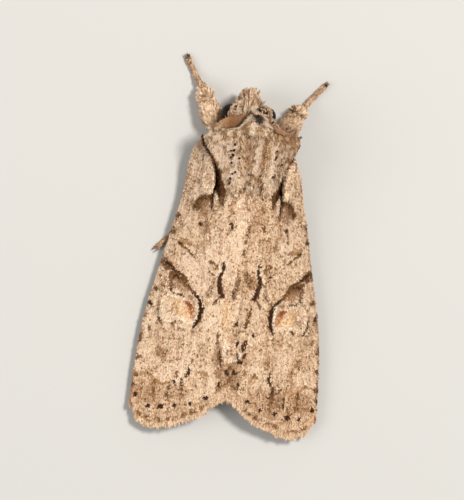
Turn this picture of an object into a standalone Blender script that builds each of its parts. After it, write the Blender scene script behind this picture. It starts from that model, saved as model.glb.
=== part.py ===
"""A life-size moth at rest: head, thorax, abdomen, folded wings, legs and feelers.

The moth faces +Y and stands on its six feet on the plane Z = 0. Its left side is at -X. The design numbers
are in millimetres, and every finished mesh is scaled to metres. Last of all the whole moth is moved a little, so
that the middle of its box, seen from above, is over the origin.
"""

import math

import bmesh
import bpy
from mathutils import Matrix, Vector

MM = 0.001
GAP = 0.1  # between neighbouring pieces: a thin cut, at this size
PLATE = 0.5  # thickness of the wings and of the shoulder plates
LEFT, RIGHT = -1, 1

NOSE_Y = 9.6
NECK_Y = 7.55
SHOULDER_Y = 6.85
WAIST_Y = 2.45
ABDOMEN_TIP_Y = -6.8
SHOULDER_HALF = 2.95
CAPE_DROP = 1.9  # how far the cape of scales falls from the midline to the shoulder's corner
EYE_RADIUS = 0.58
HEAD_ASIDE = -0.32  # the head is held this far towards the moth's left
FEELER_RADIUS = 0.25

SCALES = ("scales", (0.62, 0.53, 0.43), 0.8)
HINDWING = ("hindwing_scales", (0.55, 0.50, 0.45), 0.8)
EYE = ("eye", (0.05, 0.035, 0.03), 0.2)


class Profile:
    """A smooth curve through (place, value) stations that never overshoots them, level past its ends."""

    def __init__(self, *stations):
        self.stations = sorted(stations)
        steps = [
            (b[1] - a[1]) / (b[0] - a[0])
            for a, b in zip(self.stations, self.stations[1:])
        ]
        inner = [
            2 * p * q / (p + q) if p * q > 0 else 0.0 for p, q in zip(steps, steps[1:])
        ]
        self.slopes = [steps[0], *inner, steps[-1]]

    def __call__(self, place):
        if place <= self.stations[0][0]:
            return self.stations[0][1]
        for i, ((x0, v0), (x1, v1)) in enumerate(zip(self.stations, self.stations[1:])):
            if place <= x1:
                width = x1 - x0
                t = (place - x0) / width
                return (
                    v0 * (1 + 2 * t) * (1 - t) ** 2
                    + v1 * t * t * (3 - 2 * t)
                    + width * self.slopes[i] * t * (1 - t) ** 2
                    - width * self.slopes[i + 1] * t * t * (1 - t)
                )
        return self.stations[-1][1]


# The folded forewings, by place along the body: a low roof with its ridge over the midline.
# The left wing's root is pushed outwards and forwards by the leg under it.
COSTA = Profile(
    (-9.6, 5.68), (-7.7, 5.6), (-5.0, 5.38), (-0.3, 4.42), (3.4, 3.63), (4.8, 3.34), (5.5, 3.05), (6.4, 2.45)
)
COSTA_BULGE = Profile((3.0, 0.0), (4.4, 0.12), (5.5, 0.42), (6.2, 0.6), (6.8, 0.6))
RIDGE = Profile(
    (-10.5, 1.65), (-9.0, 2.0), (-6.0, 2.75), (-3.0, 3.4), (0.0, 3.9), (2.5, 4.3), (6.4, 4.85)
)
BRIM = Profile((-10.5, 0.75), (-5.0, 0.8), (0.0, 0.95), (3.4, 1.15), (6.4, 1.7))
ROOF_CURVE = 1.7  # above 1 the roof is rounded at its ridge and steeper at its brim
# The hind margin with its fringe, by distance from the midline.
HIND_MARGIN = Profile(
    (-0.9, -8.3), (0.1, -9.2), (0.85, -9.75), (1.3, -10.15), (2.5, -10.75),
    (4.1, -11.2), (4.9, -11.0), (5.4, -10.55), (5.68, -9.6),
)
FRONT_MARGIN = {
    LEFT: Profile((1.2, 6.1), (2.0, 6.5), (2.6, 6.8), (2.95, 6.75), (3.4, 5.9)),
    RIGHT: Profile((1.2, 6.1), (2.0, 6.4), (2.5, 6.35), (3.1, 5.4)),
}
# Where each forewing starts beside the thorax, and how far past the midline it reaches behind it.
LEFT_INNER = Profile((1.2, -0.1), (2.6, 0.6), (3.4, 1.25), (4.2, 1.62), (5.0, 1.7))
RIGHT_INNER = Profile((-2.0, -0.9), (1.0, -0.8), (2.6, 0.6), (3.4, 1.25), (4.2, 1.62), (5.0, 1.7))
UNDERLAP_DEPTH = PLATE + 0.18  # the right wing dips this far to pass under the left one
UNDERLAP_DIP = Profile((0.15, 1.0), (1.3, 0.0))
UNDERLAP_FRONT = 3.4  # in front of this the thorax parts the wings

# The cape of long scales over collar and thorax, by place along the body.
CREST = Profile(
    (2.75, 4.55), (4.0, 4.95), (5.5, 5.15), (6.9, 5.5), (7.35, 5.85), (7.75, 5.8), (8.1, 4.7)
)
# The collar's rim and its front edge, across the body: the rim runs forward over a keel in the middle.
COLLAR_RIM = Profile(
    (-2.9, 6.98), (-2.0, 7.08), (-1.2, 7.2), (-0.75, 7.6), (-0.4, 8.0),
    (0.0, 8.05), (0.35, 7.95), (0.7, 7.4), (1.2, 7.15), (2.9, 6.98),
)
COLLAR_FRONT = Profile(
    (-2.9, 7.05), (-2.3, 7.5), (-2.0, 7.78), (-1.5, 7.98), (-0.3, 8.17),
    (0.3, 8.1), (0.66, 7.9), (1.1, 7.6), (2.0, 7.25), (2.9, 7.05),
)
COLLAR_HOLLOW = 1.6  # above 1 the face in front of the rim is hollow
COLLAR_LIP = 4.2  # height of the front edge's coat
COLLAR_FLOOR = 3.65  # height of its underside, over the head
CAPE_HALF = Profile((2.9, 1.3), (4.0, 1.75), (5.3, 2.25), (6.3, 2.85), (6.85, 2.95))


def costa(y, side):
    """How far out the forewing's front edge is."""
    return COSTA(y) + (COSTA_BULGE(y) if side == LEFT else 0.0)


def roof(x, y, side):
    """Height of the upper forewing surface."""
    share = abs(x) / costa(y, side)
    return BRIM(y) + (RIDGE(y) - BRIM(y)) * (1 - share**ROOF_CURVE)


def cape(x, y):
    """Height of the thorax's coat."""
    return CREST(y) - CAPE_DROP * (abs(x) / SHOULDER_HALF) ** ROOF_CURVE


def collar_top(x, y):
    """Height of the collar's coat: the cape as far as the rim, and a hollow face in front of it."""
    rim = COLLAR_RIM(x)
    if y <= rim:
        return cape(x, y)
    high = cape(x, rim)
    low = min(COLLAR_LIP, high - 0.15)
    share = (COLLAR_FRONT(x) - y) / (COLLAR_FRONT(x) - rim)
    return low + (high - low) * max(share, 0.0) ** COLLAR_HOLLOW


def material_of(finish):
    name, colour, roughness = finish
    found = bpy.data.materials.get(name)
    if found:
        return found
    material = bpy.data.materials.new(name)
    material.use_nodes = True
    shader = material.node_tree.nodes["Principled BSDF"]
    shader.inputs["Base Color"].default_value = (*colour, 1)
    shader.inputs["Roughness"].default_value = roughness
    shader.inputs["Metallic"].default_value = 0.0
    return material


def add_mesh(name, mesh, finish, collection):
    """A finished piece: its mesh in metres, smooth where it is round."""
    mesh.name = name
    mesh.transform(Matrix.Scale(MM, 4))
    mesh.shade_smooth()
    mesh.set_sharp_from_angle(angle=math.radians(40))
    mesh.materials.append(material_of(finish))
    piece = bpy.data.objects.new(name, mesh)
    collection.objects.link(piece)
    return piece


def mesh_from(bm):
    mesh = bpy.data.meshes.new("mesh")
    bm.to_mesh(mesh)
    bm.free()
    return mesh


def plate(across, along, side, inner, outer, front, back, top):
    """An open sheet between its inner, outer, front and back margin, at the height top(x, y)."""
    bm = bmesh.new()
    bmesh.ops.create_grid(bm, x_segments=across, y_segments=along, size=0.5)
    for vert in bm.verts:
        outward, forward = vert.co.x + 0.5, vert.co.y + 0.5
        guess = inner(0.0) + outward * (outer(0.0) - inner(0.0))
        for _ in range(3):  # the margins go by x, and the edges by y
            y = back(guess) + forward * (front(guess) - back(guess))
            guess = inner(y) + outward * (outer(y) - inner(y))
        vert.co = (guess * side, y, top(guess, y))
    if side == LEFT:
        bmesh.ops.reverse_faces(bm, faces=bm.faces[:])
    return mesh_from(bm)


def add_plate(name, finish, collection, sheet, thickness=PLATE):
    piece = add_mesh(name, sheet, finish, collection)
    wall = piece.modifiers.new("thickness", "SOLIDIFY")
    wall.thickness = thickness * MM
    wall.offset = -1
    return piece


def body_length(stations, around, along, top_power=2.0, low_power=2.0):
    """A closed length of body along Y. Each station is (y, half width, lowest, widest, highest)."""
    half, lowest, widest, highest = (
        Profile(*((s[0], s[i]) for s in stations)) for i in range(1, 5)
    )
    ends = stations[0][0], stations[-1][0]
    bm = bmesh.new()
    bmesh.ops.create_grid(bm, x_segments=around, y_segments=along, size=0.5)
    for vert in bm.verts:
        y = ends[0] + (vert.co.y + 0.5) * (ends[1] - ends[0])
        turn = 2 * math.pi * (vert.co.x + 0.5)
        side, up = math.cos(turn), math.sin(turn)
        power = 2 / (top_power if up > 0 else low_power)
        reach = highest(y) - widest(y) if up > 0 else lowest(y) - widest(y)
        x = half(y) * math.copysign(abs(side) ** power, side)
        vert.co = (x, y, widest(y) + reach * abs(up) ** power)
    bmesh.ops.remove_doubles(bm, verts=bm.verts[:], dist=1e-4)
    bmesh.ops.holes_fill(bm, edges=bm.edges[:], sides=around + 1)
    bmesh.ops.recalc_face_normals(bm, faces=bm.faces[:])
    return mesh_from(bm)


def tube(points, sides=2):
    """A round limb through (x, y, z, radius) points, with closed ends."""
    curve = bpy.data.curves.new("limb", "CURVE")
    curve.dimensions = "3D"
    curve.bevel_depth = 1.0
    curve.bevel_resolution = sides
    curve.use_fill_caps = True
    spline = curve.splines.new("POLY")
    spline.points.add(len(points) - 1)
    for point, (x, y, z, radius) in zip(spline.points, points):
        point.co = (x, y, z, 1)
        point.radius = radius
    shape = bpy.data.objects.new("limb", curve)
    bpy.context.scene.collection.objects.link(shape)
    graph = bpy.context.evaluated_depsgraph_get()
    mesh = bpy.data.meshes.new_from_object(shape.evaluated_get(graph))
    bpy.data.objects.remove(shape)
    bm = bmesh.new()
    bm.from_mesh(mesh)
    bmesh.ops.remove_doubles(bm, verts=bm.verts[:], dist=1e-4)
    for vert in bm.verts:  # what stands on the floor is pressed flat there
        vert.co.z = max(vert.co.z, 0.0)
    bmesh.ops.recalc_face_normals(bm, faces=bm.faces[:])
    bm.to_mesh(mesh)
    bm.free()
    return mesh


def smooth_line(points, per_span):
    """Points along a smooth curve through (x, y, z, radius) points."""
    lines = [Profile(*enumerate(values)) for values in zip(*points)]
    count = per_span * (len(points) - 1)
    return [tuple(line(i / per_span) for line in lines) for i in range(count + 1)]


def aside(x, y, z):
    """A point of the head, moved towards the moth's left. Points behind the neck stay."""
    share = min(max((y - NECK_Y) / 0.5, 0.0), 1.0)
    return Vector((x + HEAD_ASIDE * share, y, z))


def add_ball(name, centre, radii, collection, finish=None):
    """An egg-shaped piece, or a cutter where it has no finish."""
    bm = bmesh.new()
    bmesh.ops.create_uvsphere(bm, u_segments=14, v_segments=9, radius=1)
    bmesh.ops.scale(bm, vec=radii, verts=bm.verts[:])
    bmesh.ops.translate(bm, vec=centre, verts=bm.verts[:])
    return add_mesh(name, mesh_from(bm), finish or SCALES, collection)


def cut(piece, cutter):
    cutter.hide_render = True
    cutter.display_type = "WIRE"
    modifier = piece.modifiers.new("cut", "BOOLEAN")
    modifier.operation = "DIFFERENCE"
    modifier.object = cutter


def side_name(side):
    return "left" if side == LEFT else "right"


def make_forewing(side, parts):
    inner = LEFT_INNER if side == LEFT else RIGHT_INNER

    def top(x, y):
        if side == LEFT or y > UNDERLAP_FRONT:
            return roof(x, y, side)
        share = min((UNDERLAP_FRONT - y) / 1.2, 1.0)
        return roof(x, y, side) - UNDERLAP_DEPTH * UNDERLAP_DIP(x) * share

    def outer(y):
        return costa(y, side)

    sheet = plate(12, 18, side, inner, outer, FRONT_MARGIN[side], HIND_MARGIN, top)
    add_plate(f"forewing_{side_name(side)}", SCALES, parts, sheet)


def make_hindwing(side, parts):
    """A hindwing lies folded under its forewing, beside the abdomen."""
    inner = Profile((-8.0, 1.0), (-5.0, 1.15), (-2.0, 1.4), (2.0, 1.5))
    outer = Profile((-8.0, 3.4), (-5.0, 3.85), (-2.0, 3.35), (0.0, 2.55), (2.4, 2.15))
    front = Profile((1.0, 2.4), (3.0, 1.8))
    back = Profile((0.4, -7.3), (2.4, -8.3), (4.2, -7.2))

    def top(x, y):
        return roof(x, y, side) - PLATE - 2.5 * GAP - UNDERLAP_DEPTH * UNDERLAP_DIP(x)

    sheet = plate(8, 14, side, inner, outer, front, back, top)
    add_plate(f"hindwing_{side_name(side)}", HINDWING, parts, sheet)


def make_tegula(side, parts):
    """The plate of scales that covers a forewing's root."""
    inner = Profile((3.0, 0.78), (6.8, 0.85))
    front = Profile((0.8, SHOULDER_Y), (2.95, SHOULDER_Y - 0.1))
    back = Profile((0.7, 3.1), (1.4, 3.5), (2.95, 6.0))
    sheet = plate(6, 10, side, inner, CAPE_HALF, front, back, cape)
    add_plate(f"tegula_{side_name(side)}", SCALES, parts, sheet, 0.42)


def make_trunk(parts):
    thorax = body_length(
        (
            (WAIST_Y, 0.4, 1.5, 2.2, 3.9),
            (2.8, 0.75, 1.2, 2.2, CREST(2.8)),
            (3.4, 1.2, 0.85, 2.2, CREST(3.4)),
            (5.0, 1.6, 0.8, 2.2, CREST(5.0)),
            (SHOULDER_Y, 1.6, 0.95, 2.2, CREST(SHOULDER_Y)),
        ),
        around=20,
        along=11,
        top_power=1.32,
    )
    add_mesh("thorax", thorax, SCALES, parts)
    neck = body_length(
        (
            (SHOULDER_Y + GAP, 1.4, 1.1, 2.3, 3.4),
            (NECK_Y - GAP, 0.75, 1.4, 2.3, 3.2),
        ),
        around=16,
        along=2,
    )
    add_mesh("neck", neck, SCALES, parts)
    abdomen = body_length(
        (
            (ABDOMEN_TIP_Y, 0.2, 0.6, 0.8, 1.0),
            (-6.2, 0.6, 0.4, 0.85, 1.3),
            (-4.5, 1.15, 0.35, 1.05, 1.75),
            (-2.0, 1.55, 0.35, 1.2, 2.2),
            (1.0, 1.7, 0.45, 1.5, 2.7),
            (WAIST_Y - GAP, 1.4, 0.75, 1.7, 3.0),
        ),
        around=18,
        along=12,
    )
    add_mesh("abdomen", abdomen, SCALES, parts)


def make_collar(parts):
    """The collar overhangs the back of the head. Its middle runs forward as a keel."""
    bm = bmesh.new()
    bmesh.ops.create_grid(bm, x_segments=18, y_segments=6, size=0.5)
    extruded = bmesh.ops.extrude_face_region(bm, geom=bm.faces[:], use_keep_orig=True)
    floor = [item for item in extruded["geom"] if isinstance(item, bmesh.types.BMVert)]
    back = SHOULDER_Y + GAP
    for vert in bm.verts:
        x = 2 * (SHOULDER_HALF - 0.05) * vert.co.x
        y = back + (vert.co.y + 0.5) * (COLLAR_FRONT(x) - back)
        vert.co = (x, y, collar_top(x, y))
    for vert in floor:
        vert.co.z = min(COLLAR_FLOOR, vert.co.z - PLATE)
    bmesh.ops.recalc_face_normals(bm, faces=bm.faces[:])
    add_mesh("collar", mesh_from(bm), SCALES, parts)


# Right side's limbs of the head, as (x, y, z) and, for the palp, the radius.
PALP = (
    (0.3, 8.8, 0.9, 0.22), (0.33, 9.15, 1.05, 0.26), (0.3, 9.42, 1.35, 0.22), (0.26, 9.55, 1.6, 0.15),
)
FEELER_BASE = ((0.66, 8.66, 3.55), (1.0, 8.62, 3.48), (1.19, 8.34, 3.34), (1.24, 7.95, 3.14))
FEELER_SHAFT = (
    (1.32, 7.8, 3.04), (1.6, 7.3, 2.7), (2.0, 6.4, 1.78), (2.2, 5.5, 1.28),
    (2.55, 3.5, 1.2), (2.95, 1.0, 1.15), (3.3, -1.0, 1.0),
)


def make_head(parts, cutters):
    head = body_length(
        (
            (NECK_Y, 0.7, 1.4, 2.3, 3.2),
            (8.1, 1.0, 1.15, 2.3, 3.42),
            (8.6, 0.94, 1.1, 2.35, 3.6),
            (9.0, 0.74, 1.5, 2.4, 3.5),
            (9.35, 0.62, 1.85, 2.5, 3.25),
            (NOSE_Y, 0.42, 2.15, 2.55, 2.95),
        ),
        around=18,
        along=9,
    )
    for vert in head.vertices:
        vert.co = aside(*vert.co)
    head = add_mesh("head", head, SCALES, parts)
    for side in (LEFT, RIGHT):
        centre = aside(1.12 * side, 8.12, 2.22)
        radii = Vector((0.95, 1.0, 1.05)) * EYE_RADIUS
        socket = radii + Vector((GAP, GAP, GAP))
        cut(head, add_ball(f"socket_{side_name(side)}", centre, socket, cutters))
        add_ball(f"eye_{side_name(side)}", centre, radii, parts, EYE)
        points = [(*aside(x * side, y, z), r) for x, y, z, r in smooth_line(PALP, 2)]
        add_mesh(f"palp_{side_name(side)}", tube(points), SCALES, parts)
        make_antenna(side, parts)


def make_antenna(side, parts):
    """A feeler: a base that leaves the head in front of the collar, and a shaft back under the wing."""
    for name, path in (("base", FEELER_BASE), ("shaft", FEELER_SHAFT)):
        points = [
            (*aside(x * side, y, z), FEELER_RADIUS)
            for x, y, z in smooth_line(path, 3)
        ]
        add_mesh(f"antenna_{name}_{side_name(side)}", tube(points, 1), SCALES, parts)


# Each leg's joints: hip, trochanter, knee, ankle and toe.
LEGS = {
    "foreleg_left": (
        (-1.0, 6.75, 0.9), (-2.0, 7.05, 1.1), (-2.8, 8.75, 1.1), (-3.1, 9.5, 0.75), (-4.25, 11.5, 0.18)
    ),
    "foreleg_right": (
        (1.0, 6.75, 0.9), (1.95, 6.95, 1.1), (2.62, 8.3, 1.1), (3.08, 8.85, 0.75), (4.5, 10.6, 0.18)
    ),
    "midleg_left": (
        (-1.15, 5.2, 0.7), (-1.6, 5.1, 0.7), (-2.6, 4.2, 0.75), (-3.15, 1.6, 0.5), (-5.05, -0.5, 0.18)
    ),
    "midleg_right": (
        (1.15, 5.2, 0.7), (1.6, 5.1, 0.7), (2.6, 4.2, 0.75), (3.0, 2.4, 0.5), (4.1, -0.8, 0.18)
    ),
    "hindleg_left": (
        (-0.9, 3.6, 0.6), (-1.55, 3.2, 0.6), (-2.35, 1.3, 0.75), (-3.1, -1.6, 0.5), (-4.1, -5.4, 0.18)
    ),
    "hindleg_right": (
        (0.9, 3.6, 0.6), (1.55, 3.2, 0.6), (2.35, 1.3, 0.75), (3.1, -1.6, 0.5), (4.1, -5.4, 0.18)
    ),
}
LENGTHS = ("coxa", "femur", "tibia", "tarsus")
# The limb's radius where it starts, a third of the way along and where it ends, for each length.
FORE_GIRTH = ((0.32, 0.38, 0.3), (0.4, 0.66, 0.56), (0.5, 0.52, 0.34), (0.25, 0.25, 0.25))
BACK_GIRTH = ((0.25, 0.32, 0.25), (0.25, 0.36, 0.28), (0.26, 0.32, 0.25), (0.25, 0.25, 0.25))


def make_leg(name, joints, parts):
    """Coxa, femur, tibia and tarsus, each a spindle between its joints."""
    girths = FORE_GIRTH if name.startswith("fore") else BACK_GIRTH
    for length, start, end, girth in zip(LENGTHS, joints, joints[1:], girths):
        start, end = Vector(start), Vector(end)
        along = (end - start).normalized()
        start += along * GAP
        end -= along * GAP
        widths = Profile(*zip((0.0, 0.4, 1.0), girth))
        points = []
        for step in range(7):
            share = step / 6
            place = start.lerp(end, share)
            radius = widths(share)
            if length == "tarsus":  # down to the floor, then along it
                place.z = max(end.z, start.z * (1 - 1.6 * share))
            points.append((*place, radius))
        add_mesh(f"{name}_{length}", tube(points, 2), SCALES, parts)


def stand_on_origin(pieces, helpers):
    """Moves all so that the middle of the moth's box, seen from above, is over the origin."""
    graph = bpy.context.evaluated_depsgraph_get()
    corners = [Vector(c) for obj in pieces for c in obj.evaluated_get(graph).bound_box]
    low, high = (Vector(pick(axis) for axis in zip(*corners)) for pick in (min, max))
    middle = (low + high) / 2
    for obj in (*pieces, *helpers):
        obj.data.transform(Matrix.Translation((-middle.x, -middle.y, -low.z)))


def main():
    for obj in list(bpy.data.objects):
        bpy.data.objects.remove(obj)
    parts = bpy.data.collections.new("moth")
    cutters = bpy.data.collections.new("cutters")
    for collection in (parts, cutters):
        bpy.context.scene.collection.children.link(collection)
    make_trunk(parts)
    make_collar(parts)
    make_head(parts, cutters)
    for side in (LEFT, RIGHT):
        make_tegula(side, parts)
        make_forewing(side, parts)
        make_hindwing(side, parts)
    for name, joints in LEGS.items():
        make_leg(name, joints, parts)
    stand_on_origin(parts.objects, cutters.objects)


main()
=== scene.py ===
"""The looks of a life-size resting moth, in its coat of scales.

One skin stands for the body, its limbs and its feelers, and thin sheets for the wings. Scales and hairs of
solid mesh lie over them, each following the lie of the coat. Skin, sheets and coat take their markings from
the same functions of place. Design numbers are millimetres in the moth's own frame: it faces +Y, its left is
at -X, and Z = 0 is the floor. "Out" is the distance out from the midline, on either side.
"""

import itertools
import math
from collections import namedtuple

import bmesh
import bpy
import numpy as np
from mathutils import Matrix, Vector
from mathutils.bvhtree import BVHTree
from mathutils.kdtree import KDTree


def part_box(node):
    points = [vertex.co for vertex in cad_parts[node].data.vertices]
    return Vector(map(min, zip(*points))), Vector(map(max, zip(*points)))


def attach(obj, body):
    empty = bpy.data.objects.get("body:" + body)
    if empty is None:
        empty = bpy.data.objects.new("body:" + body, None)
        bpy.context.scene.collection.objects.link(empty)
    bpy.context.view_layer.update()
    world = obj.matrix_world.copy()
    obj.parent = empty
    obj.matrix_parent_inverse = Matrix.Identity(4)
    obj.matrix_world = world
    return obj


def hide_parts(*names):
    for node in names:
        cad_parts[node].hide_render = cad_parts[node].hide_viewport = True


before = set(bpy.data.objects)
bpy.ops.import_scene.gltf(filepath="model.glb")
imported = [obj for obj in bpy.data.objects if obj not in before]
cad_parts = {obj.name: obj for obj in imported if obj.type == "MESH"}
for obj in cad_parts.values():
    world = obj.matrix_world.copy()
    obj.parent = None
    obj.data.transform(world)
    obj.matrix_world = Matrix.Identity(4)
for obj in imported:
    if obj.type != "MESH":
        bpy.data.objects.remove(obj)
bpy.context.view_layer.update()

MM = 0.001
LEFT, RIGHT = -1, 1
SIDES = {"left": LEFT, "right": RIGHT}
SHOULDER_Y = 6.85
# The solids were moved a little along Y, so that they stand over the origin.
DRIFT = SHOULDER_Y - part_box("thorax")[1].y / MM

# ---------------------------------------------------------------- smooth curves and repeatable chance


class Profile:
    """A smooth curve through (place, value) stations that never overshoots them, level past its ends."""

    def __init__(self, *stations):
        self.places, self.values = (np.array(row, float) for row in zip(*sorted(stations)))
        steps = np.diff(self.values) / np.diff(self.places)
        product, total = steps[:-1] * steps[1:], steps[:-1] + steps[1:]
        inner = np.where(product > 0, 2 * product / np.where(total == 0, 1, total), 0.0)
        self.slopes = np.concatenate((steps[:1], inner, steps[-1:]))

    def __call__(self, place):
        place = np.clip(place, self.places[0], self.places[-1])
        i = np.clip(np.searchsorted(self.places, place, side="right") - 1, 0, len(self.places) - 2)
        width = self.places[i + 1] - self.places[i]
        t = (place - self.places[i]) / width
        return (
            self.values[i] * (1 + 2 * t) * (1 - t) ** 2
            + self.values[i + 1] * t * t * (3 - 2 * t)
            + width * self.slopes[i] * t * (1 - t) ** 2
            - width * self.slopes[i + 1] * t * t * (1 - t)
        )


def vectors(*columns):
    """One row for each place, from its coordinates. A column is an array, or one number for every row."""
    return np.stack(np.broadcast_arrays(*columns), -1)


def arc_length(x, y):
    """How far along a line each of its points is."""
    return np.concatenate(((0,), np.cumsum(np.hypot(np.diff(x), np.diff(y)))))


def eased(share):
    """0 to 1 with soft ends."""
    share = np.clip(share, 0.0, 1.0)
    return share * share * (3 - 2 * share)


def hashed(cells, seed=0):
    """A repeatable random number from 0 to 1 for each whole-number cell."""
    x, y, z = np.moveaxis(np.asarray(cells).astype(np.int64).astype(np.uint64), -1, 0)
    mix = x * np.uint64(73856093) ^ y * np.uint64(19349663) ^ z * np.uint64(83492791)
    mix ^= np.uint64(seed * 668265263 + 374761393)
    for shift, factor in ((13, 1274126177), (17, 2246822519)):
        low = mix & np.uint64(0xFFFFFFFF)
        mix = (low ^ (low >> np.uint64(shift))) * np.uint64(factor)
    return ((mix >> np.uint64(8)) & np.uint64(0xFFFFFF)).astype(float) / 0xFFFFFF


def chance(places, seed=0):
    """A repeatable random number from 0 to 1 for each place, unlike its neighbours'."""
    return hashed(np.floor(np.asarray(places) / 0.004), seed)


def noise(places, size, seed=0):
    """A smooth random field from 0 to 1. Its patches are about this size: one number, or one an axis."""
    grid = np.asarray(places) / size
    cell = np.floor(grid)
    part = eased(grid - cell)
    total = 0.0
    for corner in itertools.product((0, 1), repeat=3):
        weight = np.prod(np.where(corner, part, 1 - part), axis=-1)
        total = total + weight * hashed(cell + np.array(corner), seed)
    return total


def stroke(x, y, path, width, soft=0.08):
    """1 within a stroke along the path, fading to 0 over the soft edge. Width: one number, or one a point."""
    points = list(path) if len(path) > 1 else [path[0], path[0]]
    widths = np.broadcast_to(width, len(points))
    beyond = np.full(np.shape(x), np.inf)
    for (x0, y0), (x1, y1), first, last in zip(points, points[1:], widths, widths[1:]):
        across, along = x1 - x0, y1 - y0
        size = across * across + along * along
        share = np.clip(((x - x0) * across + (y - y0) * along) / (size or 1.0), 0, 1)
        reach = np.hypot(x - x0 - share * across, y - y0 - share * along)
        beyond = np.minimum(beyond, reach - (first + (last - first) * share) / 2)
    return eased(1 - beyond / soft)


def blob(x, y, centre, radii, soft=0.3):
    """1 within an oval, fading to 0 over a soft edge given as a share of its size."""
    reach = np.hypot((x - centre[0]) / radii[0], (y - centre[1]) / radii[1])
    return eased((1 + soft - reach) / (2 * soft))


# ---------------------------------------------------------------- colours

PALE = np.array((0.97, 0.76, 0.55))
MILK = np.array((0.99, 0.76, 0.535))
CREAM = np.array((0.84, 0.58, 0.375))
BUFF = np.array((0.62, 0.385, 0.22))
TAN = np.array((0.40, 0.215, 0.105))
BROWN = np.array((0.21, 0.094, 0.033))
DARK = np.array((0.075, 0.028, 0.009))
RUST = np.array((0.50, 0.19, 0.06))
EMBER = np.array((0.30, 0.095, 0.028))
ORANGE = np.array((0.88, 0.56, 0.29))
GREY = np.array((0.40, 0.285, 0.19))
WHITE = np.array((0.96, 0.765, 0.57))
LAVENDER = np.array((0.84, 0.665, 0.535))
PINK = np.array((0.74, 0.46, 0.28))
SLATE = np.array((0.12, 0.07, 0.055))
GOLD = np.array((0.50, 0.27, 0.11))
UMBER = np.array((0.16, 0.065, 0.035))
RAMP = (PALE, CREAM, BUFF, TAN, BROWN, DARK)


def ramp(tone):
    """The coat's colour from pale at 0 to near black at 1."""
    place = np.clip(tone, 0, 1)[..., None] * (len(RAMP) - 1)
    colour = np.zeros((*np.shape(tone), 3))
    for step, dye in enumerate(RAMP):
        colour = colour + np.clip(1 - np.abs(place - step), 0, 1) * dye
    return colour


def dyed(colour, dye, share):
    """The colour, turned towards the dye by this share."""
    return colour + (np.asarray(dye) - colour) * np.clip(share, 0, 1)[..., None]


# ---------------------------------------------------------------- the wings' shape

# The left wing's root is pushed outwards and forwards by the leg under it.
COSTA = Profile(
    (-9.6, 5.68), (-7.7, 5.6), (-5.0, 5.38), (-0.3, 4.42), (3.4, 3.63), (4.8, 3.34), (5.5, 3.05), (6.4, 2.45)
)
COSTA_BULGE = Profile((3.0, 0.0), (4.4, 0.12), (5.5, 0.42), (6.2, 0.6), (6.8, 0.6))
RIDGE = Profile((-10.5, 1.65), (-9.0, 2.0), (-6.0, 2.75), (-3.0, 3.4), (0.0, 3.9), (2.5, 4.3), (6.4, 4.85))
BRIM = Profile((-10.5, 0.75), (-5.0, 0.8), (0.0, 0.95), (3.4, 1.15), (6.4, 1.7))
ROOF_CURVE = 1.7
HIND_MARGIN = Profile(
    (-0.9, -8.3), (0.1, -9.2), (0.85, -9.75), (1.3, -10.15), (2.5, -10.75),
    (4.1, -11.2), (4.9, -11.0), (5.4, -10.55), (5.68, -9.6),
)
FRONT_MARGIN = {
    LEFT: Profile((1.2, 6.1), (2.0, 6.5), (2.6, 6.8), (2.95, 6.75), (3.4, 5.9)),
    RIGHT: Profile((1.2, 6.1), (2.0, 6.4), (2.5, 6.35), (3.1, 5.4)),
}
# Where each forewing starts: in front of this the thorax and its long hairs lie over it.
INNER = {
    LEFT: Profile((1.2, -0.1), (2.6, 0.3), (3.4, 0.9), (4.2, 1.5), (5.0, 1.65)),
    RIGHT: Profile((-2.0, -0.9), (1.0, -0.8), (2.6, 0.3), (3.4, 0.9), (4.2, 1.5), (5.0, 1.65)),
}
UNDERLAP = 0.22  # the right wing's inner edge passes this far under the left one
UNDERLAP_DIP = Profile((0.15, 1.0), (1.3, 0.0))
UNDERLAP_FRONT = 3.4
SHEET = 0.09  # thickness of a wing's bare sheet
SCALE_DEPTH = 0.07  # the sheet lies this far under the coat's outer surface
EDGE_RIDGE = 0.62  # a low ridge runs this far behind the front edge
FRINGE_BARE = 0.5  # the sheet stops this far short of the fringe's tips
VEINS = (
    ((2.95, 4.6), (3.2, 3.4), (4.0, -0.4), (4.75, -5.0), (5.1, -9.6)),
    ((2.7, 3.4), (3.35, -0.5), (4.2, -5.0), (4.5, -10.0)),
    ((3.1, -2.2), (3.65, -5.6), (3.95, -10.3)),
    ((2.9, -4.9), (3.2, -7.0), (3.35, -10.4)),
    ((2.35, -5.0), (2.65, -7.5), (2.72, -10.2)),
    ((2.2, 2.2), (2.1, -1.5), (1.95, -5.0), (1.95, -9.8)),
    ((1.75, -2.6), (1.45, -6.0), (1.2, -9.3)),
    ((1.4, 1.4), (1.1, -3.0), (0.55, -8.4)),
)
GROOVE = ((2.16, 5.0), (2.03, 4.5), (1.97, 3.9), (2.03, 3.4), (2.06, 3.0), (2.04, 2.3))
CRESCENT = (
    (2.62, -2.85), (2.42, -3.02), (2.24, -3.25), (2.13, -3.6),
    (2.1, -4.0), (2.18, -4.45), (2.3, -4.7), (2.43, -4.9),
)
CRESCENT_WIDTH = (0.08, 0.16, 0.22, 0.26, 0.25, 0.22, 0.17, 0.14)
CRESCENT_RIM = ((2.52, -3.15), (2.36, -3.45), (2.29, -3.9), (2.32, -4.3), (2.45, -4.65))
RIM_WIDTH = (0.04, 0.08, 0.09, 0.09, 0.04)
KIDNEY = ((3.5, -4.0), (0.95, 0.95))
LOBE = ((2.42, 4.1), (0.38, 1.05))


def costa(y, side):
    """How far out the forewing's front edge is."""
    return COSTA(y) + (COSTA_BULGE(y) if side == LEFT else 0.0)


def roof(out, y, side):
    """Height of the folded wing's smooth form, from the ridge at the midline down to its front edge."""
    share = np.abs(out) / costa(y, side)
    return BRIM(y) + (RIDGE(y) - BRIM(y)) * (1 - share**ROOF_CURVE)


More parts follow.
